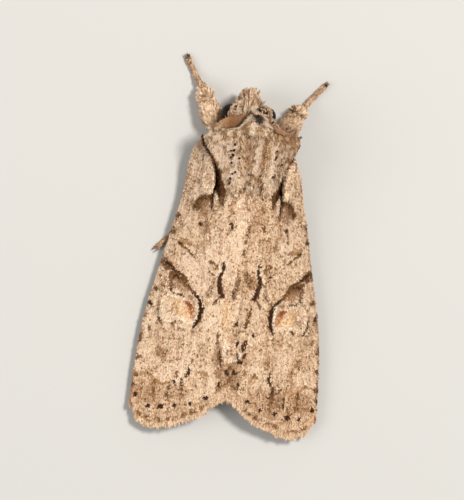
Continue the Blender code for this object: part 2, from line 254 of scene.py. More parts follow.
def relief(out, y, side):
    """How far the wing's surface stands above or below its smooth form."""
    height = np.zeros(np.shape(out))
    for vein in VEINS:
        height += 0.05 * stroke(out, y, vein, 0.06, 0.12)
    height += 0.05 * stroke(out, y, CRESCENT_RIM, 0.1, 0.1)
    height -= 0.07 * stroke(out, y, CRESCENT, 0.1, 0.1)
    height += 0.06 * blob(out, y, *KIDNEY, soft=0.25)
    height += 0.35 * blob(out, y, *LOBE, soft=0.35)
    height -= 0.36 * stroke(out, y, GROOVE, 0.05, 0.16)
    height -= 0.25 * blob(out, y, (1.7, 3.6), (0.3, 1.0), 0.5)
    ridge = costa(y, side) - EDGE_RIDGE
    height += 0.06 * eased(1 - np.abs(out - ridge) / 0.16) * eased((y + 6) / 3)
    places = vectors(out * side, y, 0.0)
    height += 0.14 * (noise(places, (0.5, 1.6, 1), 21) - 0.5)
    height += 0.06 * (noise(places, (0.16, 0.5, 1), 22) - 0.5)
    return height


def forewing_top(out, y, side):
    """Height of the forewing's bare sheet."""
    height = roof(out, y, side)
    if side == RIGHT:
        height = height - UNDERLAP * UNDERLAP_DIP(out) * np.clip((UNDERLAP_FRONT - y) / 1.2, 0, 1)
    fade = eased((costa(y, side) - out) / 0.25)
    return height - SCALE_DEPTH + relief(out, y, side) * fade


HIND_INNER = Profile((-8.0, 1.0), (-5.0, 1.15), (-2.0, 1.4), (2.0, 1.5))
HIND_OUTER = Profile((-8.0, 3.4), (-5.0, 3.85), (-2.0, 3.35), (0.0, 2.55), (2.4, 2.15))
HIND_FRONT = Profile((1.0, 2.4), (3.0, 1.8))
HIND_BACK = Profile((0.4, -7.3), (2.4, -8.3), (4.2, -7.2))
HINDWING_BELOW = 0.8  # under the forewing


def hindwing_top(out, y, side):
    """Height of the hindwing's bare sheet: softly pleated, between the forewing and the abdomen."""
    pleats = 0.05 * np.sin(out * 9 + 0.2 * y)
    return roof(out, y, side) - HINDWING_BELOW + pleats - 0.4 * UNDERLAP_DIP(out)


class Sheet:
    """A wing's bare sheet: its outline, its height and the lie of the scales on it."""

    def __init__(self, side, inner, outer, front, back, top):
        self.side, self.inner, self.outer = side, inner, outer
        self.front, self.back, self.top = front, back, top

    def height(self, out, y):
        return self.top(out, y, self.side)

    def places(self, out, y, below=0.0):
        return vectors(out * self.side, y, self.height(out, y) - below)

    def normals(self, out, y):
        step = 0.02
        across = (self.height(out + step, y) - self.height(out - step, y)) / (2 * step)
        along = (self.height(out, y + step) - self.height(out, y - step)) / (2 * step)
        return unit(vectors(-across * self.side, -along, 1.0))

    def lie(self, out, y):
        """Scales point back from the wing's root, along veins that spread out towards the hind margin."""
        share = np.clip((out - self.inner(y)) / (self.outer(y) - self.inner(y)), 0, 1)
        slope = self.outer(y - 0.5) - self.outer(y + 0.5)
        return vectors(share * slope * self.side, -1.0, 0.0)

    def inside(self, out, y):
        return (y < self.front(out)) & (y > self.back(out))


def forewing_sheet(side):
    """The forewing's bare sheet. The right one draws in a little towards its root."""
    def outer(y):
        return costa(y, side) - 0.04 - 0.08 * (side == RIGHT) * eased((y - 2.0) / 1.5)

    def back(out):
        return HIND_MARGIN(out) + FRINGE_BARE

    def front(out):
        return FRONT_MARGIN[side](out) - 0.05

    return Sheet(side, INNER[side], outer, front, back, forewing_top)


def hindwing_sheet(side):
    """The hindwing's bare sheet, which shows only from below and from the side."""
    def back(out):
        return HIND_BACK(out) + 0.3

    return Sheet(side, HIND_INNER, HIND_OUTER, HIND_FRONT, back, hindwing_top)


# ---------------------------------------------------------------- the wings' markings

FLECK_SHARE = 0.08  # of the scales are darker than their neighbours
WING_TONE = Profile(
    (-10.6, 0.16), (-9.7, 0.12), (-9.2, 0.12), (-8.6, 0.1), (-8.0, 0.02), (-7.2, 0.0), (-6.4, 0.05),
    (-5.2, 0.05), (-4.4, 0.02), (-2.4, 0.01), (-1.6, -0.03), (-0.9, -0.04), (-0.2, -0.01),
    (1.5, 0.0), (4.0, 0.04),
)
POSTMEDIAN_DOTS = ((2.4, -5.2), (3.0, -5.1), (3.55, -5.45), (4.5, -5.3), (1.7, -5.9))
# Each mark is a dye, its strength, the stroke's width, its soft edge, and the line that it follows.
BOTH_MARKS = (
    # The claviform mark's dark outline, with a pale edge beside it and a hook in front.
    (PALE, 0.9, (0.06, 0.1, 0.1), 0.06, ((1.2, -1.1), (1.22, -1.4), (1.36, -1.6))),
    (DARK, 1.0, (0.13, 0.16, 0.14, 0.18, 0.25, 0.25, 0.22, 0.27), 0.05,
     ((1.1, -0.85), (1.06, -1.15), (1.1, -1.45), (1.22, -1.7),
      (1.22, -2.0), (1.16, -2.3), (1.08, -2.6), (0.98, -2.85))),
    (BROWN, 0.85, 0.07, 0.06, ((1.1, -2.95), (1.28, -3.15), (1.45, -3.45))),
    (BROWN, 0.85, 0.09, 0.06, ((1.85, -0.85), (1.58, -0.98), (1.42, -1.12), (1.5, -1.28))),
    (DARK, 0.8, 0.12, 0.06, ((1.82, -1.47),)),
    (BROWN, 0.8, 0.10, 0.06, ((1.65, -1.6),)),
    (BROWN, 0.5, (0.10, 0.2, 0.22), 0.14, ((1.52, -1.9), (1.58, -2.4), (1.75, -2.9))),
    # The dark wedge from the costa, and the arch above the kidney mark.
    (BROWN, 0.8, (0.3, 0.42), 0.16, ((4.5, -1.0), (4.2, -1.35))),
    (DARK, 0.9, (0.14, 0.13, 0.12, 0.12, 0.10), 0.06,
     ((4.3, -1.15), (3.95, -1.42), (3.75, -1.62), (3.45, -1.75), (3.2, -1.9))),
    (BROWN, 0.75, (0.36, 0.42, 0.3), 0.2, ((3.8, -1.9), (3.45, -2.05), (3.2, -2.2))),
    (DARK, 0.6, 0.2, 0.14, ((3.7, -1.98), (3.4, -2.08))),
    (TAN, 0.55, 0.4, 0.25, ((3.6, -2.35), (3.2, -2.5))),
    (BROWN, 0.8, (0.22, 0.18, 0.13, 0.10), 0.10, ((3.15, -2.05), (3.0, -2.4), (2.75, -2.68), (2.52, -2.88))),
    (BROWN, 0.8, (0.12, 0.16, 0.14), 0.08, ((4.02, -1.75), (4.0, -2.2), (3.88, -2.65))),
    (DARK, 0.7, 0.14, 0.06, ((3.93, -2.8),)),
    # The kidney mark: pale, with a rusty inner side shading to orange, and a broken outline.
    (PALE, 0.42, 1.3, 0.3, ((3.5, -3.8), (3.5, -4.15))),
    (ORANGE, 0.55, (0.3, 0.5, 0.4), 0.3, ((3.55, -3.55), (3.3, -3.9), (2.9, -4.1))),
    (GOLD, 0.4, (0.15, 0.2, 0.1), 0.15, ((3.75, -3.5), (3.65, -3.85), (3.75, -4.15))),
    (PALE, 0.5, (0.15, 0.3, 0.15), 0.12, ((2.65, -4.6), (3.1, -4.45), (3.4, -4.4))),
    (PALE, 0.9, 0.12, 0.08, ((3.6, -3.15), (4.15, -3.1), (4.38, -3.5), (4.41, -4.1), (4.2, -4.6))),
    (DARK, 0.8, (0.05, 0.1, 0.08), 0.05, ((4.57, -3.9), (4.52, -4.4), (4.3, -4.82))),
    (TAN, 0.6, 0.06, 0.06, ((4.1, -2.98), (4.45, -3.3), (4.57, -3.9))),
    (DARK, 0.75, 0.07, 0.05, ((3.75, -2.97), (3.45, -3.02), (3.2, -3.07))),
    (BROWN, 0.85, 0.10, 0.06, ((3.68, -4.78), (3.5, -4.64))),
    (BROWN, 0.7, 0.09, 0.05, ((3.15, -4.66),)),
    (TAN, 0.5, 0.08, 0.08, ((3.7, -3.9), (3.95, -4.1))),
    (TAN, 0.6, 0.22, 0.12, ((2.8, -3.1),)),
    (RUST, 0.7, (0.1, 0.2, 0.08), 0.2, ((2.85, -3.5), (2.68, -3.75), (2.56, -4.25))),
    (EMBER, 0.85, (0.03, 0.13, 0.14), 0.14, ((3.0, -3.47), (2.78, -3.55), (2.62, -3.66))),
    # The dark crescent on the kidney's inner side, and the white line outside it.
    (PINK, 0.5, 0.1, 0.12, ((2.55, -3.3), (2.5, -3.9), (2.52, -4.4))),
    (WHITE, 1.0, RIM_WIDTH, 0.05, CRESCENT_RIM),
    (DARK, 1.0, CRESCENT_WIDTH, 0.05, CRESCENT),
    # Spots along the costa.
    (BROWN, 0.8, 0.2, 0.1, ((3.98, 1.85), (3.85, 1.7))),
    (BROWN, 0.85, 0.2, 0.1, ((4.15, 0.95), (4.05, 0.75))),
    (BROWN, 0.85, 0.2, 0.08, ((4.8, -2.75), (4.68, -2.85))),
    (DARK, 0.8, 0.15, 0.07, ((5.08, -3.55), (4.95, -3.82))),
    (BROWN, 0.5, 0.16, 0.1, ((5.2, -4.35),)),
    (BROWN, 0.75, 0.14, 0.07, ((4.55, -4.87),)),
    (BROWN, 0.7, 0.10, 0.07, ((4.95, -5.1), (4.95, -5.3))),
    (BROWN, 0.7, 0.14, 0.1, ((5.4, -5.55), (5.35, -5.85))),
    (BROWN, 0.75, 0.16, 0.1, ((5.5, -6.87), (5.38, -6.98))),
    (BROWN, 0.75, 0.16, 0.1, ((5.6, -7.95), (5.42, -8.1))),
    # The fore part: a spot under the costa, thin lines inside it, and dots beside the thorax.
    (GOLD, 0.8, 0.22, 0.12, ((3.1, 0.1), (3.55, 0.24))),
    (DARK, 0.95, 0.12, 0.06, ((3.68, 0.08), (3.52, -0.02))),
    (BROWN, 0.85, (0.09, 0.09, 0.07, 0.06), 0.06,
     ((3.55, -0.03), (3.28, -0.22), (3.02, -0.47), (2.82, -0.63))),
    (TAN, 0.6, 0.07, 0.06, ((3.2, 0.05), (2.8, 0.0), (2.6, 0.05))),
    (DARK, 0.95, 0.17, 0.09, ((2.57, 1.35),)),
    (TAN, 0.55, 0.08, 0.07, ((2.62, 0.1), (2.66, -0.9))),
    (TAN, 0.5, 0.07, 0.06, ((2.3, -0.05), (2.12, -0.75))),
    (TAN, 0.5, 0.09, 0.08, ((2.03, 0.8), (1.98, 0.2))),
    # Beyond the kidney mark: a row of dots on the veins, then dusky clusters.
    *((BROWN, 0.5, 0.12, 0.1, (spot,)) for spot in POSTMEDIAN_DOTS),
    (BROWN, 0.7, 0.10, 0.07, ((2.28, -6.78), (2.27, -6.98))),
    (BROWN, 0.45, 0.12, 0.1, ((4.3, -6.3), (4.15, -6.55), (4.0, -6.6), (3.85, -7.0))),
    (GOLD, 0.6, 0.3, 0.15, ((1.55, -7.6), (1.4, -7.8))),
    # The golden line before the margin's band, and short black streaks.
    (GOLD, 0.75, (0.06, 0.15, 0.16, 0.12, 0.08), 0.08,
     ((5.3, -7.98), (4.75, -7.9), (4.35, -8.3), (3.85, -8.47), (3.45, -8.3))),
    (BROWN, 0.8, 0.10, 0.06, ((4.8, -7.86),)),
    (DARK, 1.0, (0.05, 0.13, 0.15, 0.1), 0.05, ((2.5, -7.22), (2.42, -7.55), (2.46, -7.72), (2.58, -7.93))),
    (DARK, 0.95, 0.09, 0.05, ((2.8, -8.05), (2.78, -8.45))),
    (BROWN, 0.85, 0.09, 0.05, ((3.1, -7.65), (3.1, -8.0))),
    (DARK, 0.8, 0.08, 0.05, ((3.25, -8.2), (3.12, -8.43))),
    (DARK, 0.8, 0.06, 0.05, ((3.52, -8.6), (3.54, -9.3))),
    (BROWN, 0.8, 0.06, 0.05, ((4.36, -8.3), (4.36, -9.0), (4.3, -9.5))),
    (BROWN, 0.7, 0.06, 0.05, ((2.72, -8.7), (2.7, -9.0))),
    (DARK, 0.75, 0.09, 0.05, ((5.6, -8.5), (5.57, -8.72))),
)
CHEQUERS = (1.35, 1.95, 2.55, 3.15, 3.9, 4.55, 5.05)  # how far out the brown chequers of the fringe are
# The row of black dots along the hind margin, each with its place and width.
MARGIN_DOTS = (
    ((1.27, -9.05), 0.15), ((2.13, -9.5), 0.16), ((3.03, -9.7), 0.19),
    ((3.85, -9.85), 0.22), ((4.6, -9.9), 0.17), ((5.38, -9.27), 0.2),
)
ONE_SIDE_MARKS = {
    LEFT: (
        (BROWN, 0.6, (0.12, 0.2, 0.22), 0.12, ((0.05, -1.85), (0.22, -2.2), (0.3, -2.85))),
        (DARK, 0.8, 0.13, 0.06, ((0.28, -2.6), (0.32, -2.78))),
        (DARK, 1.0, (0.12, 0.18, 0.12), 0.06, ((0.86, 1.52), (0.83, 1.38), (0.8, 1.22))),
        (BROWN, 0.75, 0.09, 0.05, ((1.22, -4.08), (1.34, -4.12))),
        (ORANGE, 0.4, 0.35, 0.3, ((0.75, -3.5), (0.6, -4.5))),
        (WHITE, 0.8, 0.1, 0.08, ((0.45, -5.5), (0.42, -6.3))),
        (TAN, 0.5, 0.3, 0.2, ((2.3, 1.35), (2.25, 1.05))),
        (BROWN, 0.6, 0.12, 0.08, ((4.15, -0.5),)),
    ),
    RIGHT: (
        (GOLD, 0.85, (0.22, 0.2), 0.12, ((0.2, -1.6), (0.05, -1.95))),
        (BROWN, 0.85, 0.09, 0.05, ((0.27, -1.45),)),
        (RUST, 0.6, 0.07, 0.06, ((0.02, -2.6), (0.04, -3.0))),
        (TAN, 0.8, 0.36, 0.14, ((0.78, -1.75), (0.76, -2.1))),
        (DARK, 0.8, 0.09, 0.05, ((0.72, -1.83),)),
        (DARK, 0.8, 0.09, 0.05, ((0.57, -1.95),)),
        (BROWN, 0.8, 0.12, 0.05, ((0.06, -3.6),)),
        (BROWN, 0.9, 0.08, 0.05, ((0.88, -3.5), (0.77, -3.9), (0.66, -4.3), (0.57, -4.6))),
        (BROWN, 0.95, 0.22, 0.08, ((1.12, 1.4), (1.14, 1.25))),
        (BROWN, 0.6, 0.06, 0.05, ((0.92, 0.35), (0.94, 0.1))),
        (BROWN, 0.6, 0.06, 0.05, ((0.85, -0.4), (0.86, -0.8))),
        (BROWN, 0.8, 0.07, 0.06, ((2.65, 1.3), (2.72, 0.6))),
        (TAN, 0.7, 0.2, 0.08, ((1.95, 0.35), (1.97, 0.2))),
        (DARK, 0.9, 0.09, 0.05, ((2.55, -7.9), (2.72, -8.15), (2.76, -8.45), (2.7, -8.7))),
        (BROWN, 0.45, (0.2, 0.35), 0.35, ((2.85, -8.5), (3.15, -9.0))),
    ),
}
# Marks where the wings meet: their lines are given across the midline, positive to the moth's right.
CENTRE_MARKS = (
    (BROWN, 0.9, (0.12, 0.1, 0.06), 0.06, ((0.27, 1.5), (0.13, 0.95), (0.04, 0.4))),
    (BROWN, 0.85, (0.05, 0.1), 0.06, ((0.04, 0.1), (0.0, -0.25))),
    (TAN, 0.4, (0.3, 0.5, 0.3), 0.3, ((0.35, 3.0), (0.6, 2.3), (0.5, 1.4))),
    (TAN, 0.45, (0.12, 0.08), 0.1, ((1.1, 0.7), (1.17, -0.6))),
    (PALE, 0.5, 0.3, 0.3, ((-0.5, 2.9), (-0.35, 1.6))),
    (GOLD * 0.8, 0.35, (0.2, 0.4, 0.25), 0.3, ((0.2, -1.4), (0.25, -1.8), (0.2, -2.4))),
    (BROWN, 0.6, (0.05, 0.16, 0.08), 0.12, ((-0.15, -1.3), (-0.2, -1.7), (-0.1, -2.4))),
    (BROWN, 0.6, (0.06, 0.2, 0.1), 0.14, ((0.35, -1.25), (0.5, -1.6), (0.55, -2.1))),
    # A tan band beside the fold of the left wing's inner margin: painted shadow.
    (TAN, 0.6, (0.25, 0.4, 0.45, 0.3), 0.25, ((-0.85, -6.0), (-0.8, -6.6), (-0.7, -7.2), (-0.5, -7.7))),
    (TAN, 0.45, (0.4, 0.5, 0.5), 0.3, ((0.1, -6.8), (0.1, -7.3), (0.15, -7.9))),
    (PALE, 0.7, 0.14, 0.1, ((-0.35, -5.7), (-0.3, -6.1))),
    (PALE, 0.8, 0.2, 0.1, ((0.5, -6.25), (0.42, -6.45), (-0.1, -6.7))),
    (DARK, 1.0, 0.14, 0.05, ((0.06, -4.42), (0.02, -4.54))),
    (BROWN, 0.95, (0.05, 0.09, 0.05), 0.05, ((0.84, -4.2), (0.74, -4.45), (0.66, -4.65))),
    (DARK, 1.0, (0.13, 0.1), 0.05, ((1.17, -4.97), (1.18, -5.12))),
    (DARK, 0.95, (0.12, 0.06), 0.05, ((0.34, -5.55), (0.22, -5.82))),
    (DARK, 1.0, (0.09, 0.17, 0.2, 0.12), 0.05, ((0.8, -5.4), (0.7, -5.6), (0.67, -5.8), (0.68, -6.05))),
    (DARK, 1.0, (0.08, 0.12, 0.08), 0.05, ((0.88, -6.18), (0.79, -6.3), (0.74, -6.42))),
    (DARK, 0.9, 0.07, 0.05, ((0.36, -6.2), (0.4, -6.5), (0.52, -6.65))),
    (BROWN, 0.8, 0.07, 0.05, ((0.3, -6.35), (0.22, -6.55))),
    (DARK, 1.0, 0.15, 0.06, ((0.48, -6.76), (0.64, -6.74))),
    (BROWN, 0.85, 0.07, 0.05, ((-0.22, -6.1), (-0.28, -6.3))),
    (DARK, 1.0, (0.05, 0.1, 0.09, 0.05), 0.05, ((-0.78, -6.2), (-0.69, -6.5), (-0.66, -6.8), (-0.58, -7.08))),
    (BROWN, 0.8, (0.1, 0.05), 0.08, ((-0.95, -5.15), (-0.95, -5.75))),
    (DARK, 0.95, (0.1, 0.14, 0.08), 0.06, ((0.24, -7.2), (0.2, -7.4), (0.12, -7.65))),
    (DARK, 0.9, (0.16, 0.12), 0.08, ((-0.22, -7.35), (-0.04, -7.58))),
    (BROWN, 0.8, 0.12, 0.1, ((0.0, -7.05), (-0.05, -7.25))),
    (DARK, 0.9, 0.08, 0.05, ((0.42, -7.4), (0.38, -7.52))),
    (BROWN, 0.8, (0.1, 0.15), 0.1, ((0.05, -7.7), (0.0, -8.0))),
    (DARK, 1.0, (0.12, 0.13, 0.08), 0.05, ((-0.5, -8.05), (-0.54, -8.18), (-0.6, -8.32))),
    (DARK, 1.0, (0.1, 0.14, 0.08), 0.05, ((0.6, -8.02), (0.61, -8.15), (0.64, -8.28))),
    (BROWN, 0.95, (0.07, 0.06, 0.04), 0.05, ((1.06, -8.08), (0.98, -8.25), (0.88, -8.5))),
    (BROWN, 0.7, 0.12, 0.1, ((1.6, -7.35), (1.52, -7.6))),
    (BROWN, 0.75, (0.2, 0.3, 0.3, 0.2), 0.15, ((-0.5, -8.45), (-0.2, -8.35), (0.2, -8.35), (0.5, -8.45))),
)
# Clouds where the scales turn darker or paler: the change of tone, then the width, soft edge and line.
SHADES = (
    (0.13, 1.0, 0.4, ((5.2, -9.0), (4.4, -9.15), (3.6, -9.2), (2.9, -9.1))),
    (0.10, 0.3, 0.3, ((2.2, -8.2), (2.6, -9.2))),
    (0.06, 0.7, 0.4, ((2.0, -1.2), (2.2, -2.4))),
    (0.12, 0.4, 0.3, ((2.3, 2.1), (2.35, 1.0))),
    (0.2, 0.4, 0.25, ((4.05, -6.6), (3.85, -7.0))),
    (0.16, 0.7, 0.5, ((0.0, -7.2), (0.0, -8.3))),
    (0.2, 0.15, 0.25, ((0.85, 2.95), (0.75, 2.2))),
    (0.12, 0.1, 0.25, ((5.4, -5.2), (5.65, -7.0), (5.75, -8.6))),
    (0.15, 0.05, 0.2, ((3.6, 4.4), (4.0, 2.4))),
)
# Per side: the broad changes paint light on the left wing and shade on the right, so that both wings are
# equally bright under the lamps; the narrow cloud near the right wing's hind margin is its own colour.
SIDE_SHADES = {
    LEFT: ((-0.05, 1.6, 0.8, ((0.9, 2.0), (0.9, -1.0))), (-0.05, 2.5, 1.5, ((2.5, -3.0), (3.0, -9.0)))),
    RIGHT: (
        (0.05, 0.9, 0.5, ((0.6, 3.0), (0.5, 0.5), (0.6, -1.0))),
        (0.14, 0.4, 0.5, ((2.9, -8.5), (3.2, -9.1))),
        (0.06, 2.5, 1.5, ((2.5, -3.0), (3.0, -9.0))),
        (0.02, 1.5, 0.8, ((1.6, 1.5), (1.8, -1.0))),
    ),
}
# Round the wing's root: painted shadow in the gap beside the shoulder plate and in the recess under the
# thorax, and the pale lobe between dark patches.
ROOT_MARKS = (
    (TAN, 0.5, 0.25, 0.2, ((3.1, 6.3), (2.9, 5.8))),
    (RUST, 0.75, (0.1, 0.16, 0.14), 0.10, ((2.3, 5.3), (2.0, 4.85), (1.8, 4.4))),
    # The next four marks: painted shade in the recess under the thorax.
    (TAN * 0.8, 0.9, (0.25, 0.45, 0.55, 0.62), 0.12, ((1.95, 4.7), (1.82, 4.2), (1.74, 3.8), (1.7, 3.3))),
    (BROWN, 0.72, (0.2, 0.4, 0.5, 0.55), 0.14, ((1.95, 4.7), (1.84, 4.2), (1.76, 3.8), (1.72, 3.3))),
    (BROWN, 0.75, (0.5, 0.32, 0.15), 0.16, ((1.7, 3.25), (1.6, 3.0), (1.5, 2.7))),
    (DARK, 0.85, (0.05, 0.16, 0.24, 0.2), 0.12, ((1.95, 4.6), (1.86, 4.0), (1.86, 3.6), (1.75, 3.2))),
    (BROWN, 0.65, (0.1, 0.3, 0.45, 0.35), 0.2, ((2.12, 3.18), (2.35, 3.0), (2.6, 2.75), (2.9, 2.35))),
    (DARK, 0.85, (0.06, 0.16, 0.22, 0.1), 0.12, ((2.2, 3.15), (2.48, 2.95), (2.74, 2.68), (2.97, 2.35))),
    (TAN, 0.45, (0.2, 0.3), 0.4, ((2.5, 2.6), (2.55, 2.0))),
    (BROWN, 0.3, 0.3, 0.4, ((2.75, 2.4), (2.7, 2.1))),
    (BROWN, 0.55, (0.24, 0.34, 0.24), 0.4, ((2.25, 3.0), (2.5, 2.78), (2.8, 2.45))),
    (TAN, 0.45, 0.3, 0.3, ((2.3, 2.6), (2.4, 2.1))),
    (MILK, 1.0, (0.15, 0.5, 0.56, 0.5, 0.3), 0.12,
     ((2.43, 4.95), (2.42, 4.5), (2.4, 4.1), (2.36, 3.7), (2.3, 3.35))),
    (GOLD, 0.4, (0.1, 0.3, 0.2), 0.15, ((2.55, 4.5), (2.45, 4.05), (2.3, 3.85))),
    (PALE, 0.8, 0.25, 0.1, ((2.4, 3.6), (2.3, 3.4))),
    # Painted shadow cast by the shoulder plate's edge onto the wing.
    (DARK, 0.95, (0.06, 0.08, 0.12, 0.14, 0.08), 0.05,
     ((2.97, 6.7), (2.8, 6.1), (2.6, 5.72), (2.42, 5.5), (2.2, 5.1))),
    (EMBER, 0.7, 0.12, 0.08, ((2.35, 5.45), (2.15, 5.0))),
    # Along the groove: the wing's own dark streak, deepened by painted shadow.
    (DARK, 1.0, (0.08, 0.09, 0.12, 0.12, 0.09, 0.06), 0.05, GROOVE),
    (BROWN, 0.6, (0.1, 0.16, 0.08), 0.08, ((2.62, 5.48), (2.8, 5.35), (2.82, 5.1))),
    (WHITE * 1.1, 1.5, (0.16, 0.2), 0.06, ((2.66, 5.3), (2.6, 5.1))),
    (WHITE, 0.95, (0.04, 0.15), 0.06, ((1.95, 3.4), (1.82, 2.9))),
)


def vein_lines(out, y, side, places):
    """Thin broken dusky lines along the veins and along the ridge behind the front edge."""
    lines = sum(stroke(out, y, vein, 0.03, 0.06) for vein in VEINS)
    off_ridge = np.abs(out - costa(y, side) + EDGE_RIDGE)
    lines = lines + 1.5 * eased(1 - off_ridge / 0.06) * eased((y + 2.5) / 1.5)
    return lines * (noise(places, (0.2, 0.5, 1), 14) > 0.5)


def marked(colour, places, y, marks, seed, gain, scatter, uneven=1.0):
    """The colour with marks over it. Each comes with its own x, and breaks up from tuft to tuft by chance."""
    for number, (x, (dye, strength, width, soft, path)) in enumerate(marks):
        share = strength * stroke(x, y, path, width, soft)
        taken = np.clip(gain * share - scatter * chance(places, seed + number), 0, 1)
        colour = dyed(colour, dye * uneven, taken)
    return colour


def forewing_dye(out, y, side):
    """The forewing's colour at each place: a pale ground of mixed scales, with every mark over it."""
    places = vectors(out * side, y, 0.0)
    fleck = np.maximum(chance(places, 2) < FLECK_SHARE, noise(places, (0.08, 0.11, 1), 15) > 0.79)
    grain = noise(places, (0.1, 0.12, 1), 16)
    tone = WING_TONE(y) - 0.06 + 0.38 * chance(places, 1) ** 1.5 + fleck * (0.2 + 0.38 * chance(places, 7))
    for depth, size, seed in ((0.2, 0.24, 3), (0.14, (0.16, 0.6, 1), 4), (0.3, (0.55, 1.3, 1), 5)):
        tone += depth * (noise(places, size, seed) - 0.5)
    tone += 0.2 * (grain - 0.5)
    tone += 0.25 * eased((y + 1) / 1.5) * (noise(places, (0.2, 0.3, 1), 17) - 0.5)
    tone += 0.03 * eased((1.2 - out) / 1.2) + 0.12 * vein_lines(out, y, side, places)
    for change, width, soft, path in (*SHADES, *SIDE_SHADES[side]):
        tone += change * stroke(out, y, path, width, soft)
    colour = ramp(np.clip(tone, 0, 0.85))
    uneven = (0.7 + 0.8 * chance(places, 6) ** 1.5)[..., None]
    marks = [(out, mark) for mark in (*BOTH_MARKS, *ONE_SIDE_MARKS[side], *ROOT_MARKS)]
    marks += [(out * side, mark) for mark in CENTRE_MARKS]
    colour = marked(colour, places, y, marks, 40, 1.4 + 1.2 * grain, 0.9, uneven)
    colour = fringe_dye(out, y, side, places, colour)
    for spot, width in MARGIN_DOTS:
        colour = dyed(colour, DARK * 0.8, 2 * stroke(out, y, (spot,), width, 0.07))
    return colour


def fringe_dye(out, y, side, places, colour):
    """Beyond the black dots: a golden line, a pale band with brown chequers, and tips of mixed scales."""
    beyond = HIND_MARGIN(out) + 1.0 - y
    fleck = chance(places, 9)
    grain = noise(places, (0.11, 0.14, 1), 8)
    broken = noise(places, (0.1, 0.13, 1), 18) > 0.42
    colour = dyed(colour, ramp(0.1 + 0.5 * fleck**2), eased((beyond + 0.1) / 0.15))
    line = eased(1 - np.abs(beyond - 0.08) / 0.16)
    colour = dyed(colour, GOLD * 0.9, 0.9 * line * (grain > 0.4) * (fleck < 0.8))
    for centre in CHEQUERS:
        wide = blob(out + 0.5 * (grain - 0.5), beyond, (centre, 0.47), (0.25, 0.16), 0.6)
        colour = dyed(colour, BROWN * (0.8 + 0.9 * fleck[..., None]), 1.1 * wide * broken)
    rim = eased((beyond - 0.62) / 0.12)
    colour = dyed(colour, dyed(ORANGE * (1, 1.1, 1.3), TAN, (fleck > 0.7) * 0.8), 0.6 * rim)
    edge = eased((out - 5.3 + 0.25 * (beyond > 0.5)) / 0.2) * eased((beyond + 0.5) / 0.3)
    return dyed(colour, ORANGE * (0.8, 0.66, 0.6), (0.6 if side == LEFT else 0.3) * edge * (grain > 0.45))


def hindwing_dye(out, y, side):
    """The hindwing is plain grey-buff, a little darker at its hind margin."""
    places = vectors(out * side, y, 0.0)
    tone = 0.3 + 0.25 * chance(places, 11) + 0.1 * eased((-6.5 - y) / 1.5)
    return dyed(ramp(tone), GREY, 0.45)


def underside_dye(out, y, side):
    """Under the wings the scales are plain: grey-buff, paler at the edges, with a dusky spot."""
    places = vectors(out * side, y, 0.0)
    tone = 0.24 + 0.25 * chance(places, 12) + 0.2 * blob(out, y, (3.3, -4.0), (0.35, 0.35))
    tone += 0.12 * stroke(out, y, ((1.0, -7.0), (5.2, -6.6)), 0.25, 0.3)
    return dyed(ramp(tone), GREY, 0.3)


# ---------------------------------------------------------------- tufts: scales, hairs and locks


def unit(vectors):
    """The same directions, each of length 1."""
    return vectors / np.maximum(np.linalg.norm(vectors, axis=-1, keepdims=True), 1e-12)


class Cut:
    """The shape of one tuft: points as (across, along, up) in shares of its size, and triangles."""

    def __init__(self, points, faces):
        self.points, self.faces = np.array(points, float), faces


# A wing's scale with a blunt tip, a body's scale with a notched tip, and a rib-backed hair.
WING_SCALE = Cut(
    ((0, 0, 0), (0.5, 0.62, 0), (0.28, 1.0, 0), (-0.28, 1.0, 0), (-0.5, 0.62, 0), (0, 0.55, -1)),
    ((0, 1, 4), (1, 2, 3), (1, 3, 4), *((5, (a + 1) % 5, a) for a in range(5))),
)
SCALE = Cut(
    ((0, 0, 0), (0.5, 0.5, 0), (0.3, 1.0, 0), (0, 0.9, 0), (-0.3, 1.0, 0), (-0.5, 0.5, 0), (0, 0.5, -1)),
    ((0, 1, 5), (1, 2, 3), (1, 3, 5), (3, 4, 5), *((6, (a + 1) % 6, a) for a in range(6))),
)
HAIR = Cut(
    ((-0.3, 0, 0), (0.3, 0, 0), (0, 0, 1), (-0.5, 0.5, 0), (0.5, 0.5, 0), (0, 0.5, 1), (0, 1, 0)),
    (
        (0, 3, 4), (0, 4, 1), (1, 4, 5), (1, 5, 2), (2, 5, 3), (2, 3, 0),
        (3, 6, 4), (4, 6, 5), (5, 6, 3), (0, 1, 2),
    ),
)
PATCH = 0.003  # each tuft's width on the OFBake map
SINK = 0.015  # a tuft's root lies this far under the surface
FLOOR_GAP = 0.004  # nothing of the coat or the claws goes lower
# How one stretch of coat is cut and laid: sizes in millimetres, and how far its lies stray, in degrees.
Cover = namedtuple("Cover", "cut length width thick lift bow turn")


class Tufts:
    """Many tufts: each one's root, its ways up and along, its colours, and its place on the bake's map."""

    def __init__(self, roots, up, lie, colour, spot, tip_colour=None):
        self.roots, self.up, self.lie, self.colour, self.spot = roots, up, lie, colour, spot
        self.tip_colour = colour if tip_colour is None else tip_colour

    def fields(self):
        return self.roots, self.up, self.lie, self.colour, self.spot, self.tip_colour

    def keep(self, chosen):
        return Tufts(*(values[chosen] for values in self.fields()))

    def __len__(self):
        return len(self.roots)


def joined(groups):
    """One group of tufts made of several."""
    return Tufts(*(np.concatenate(rows) for rows in zip(*(group.fields() for group in groups))))


def to_world(places):
    """Design millimetres to the world's metres."""
    return (places - np.array((0, DRIFT, 0))) * MM


def from_world(places):
    """The world's metres to design millimetres."""
    return np.array(places) / MM + np.array((0, DRIFT, 0))


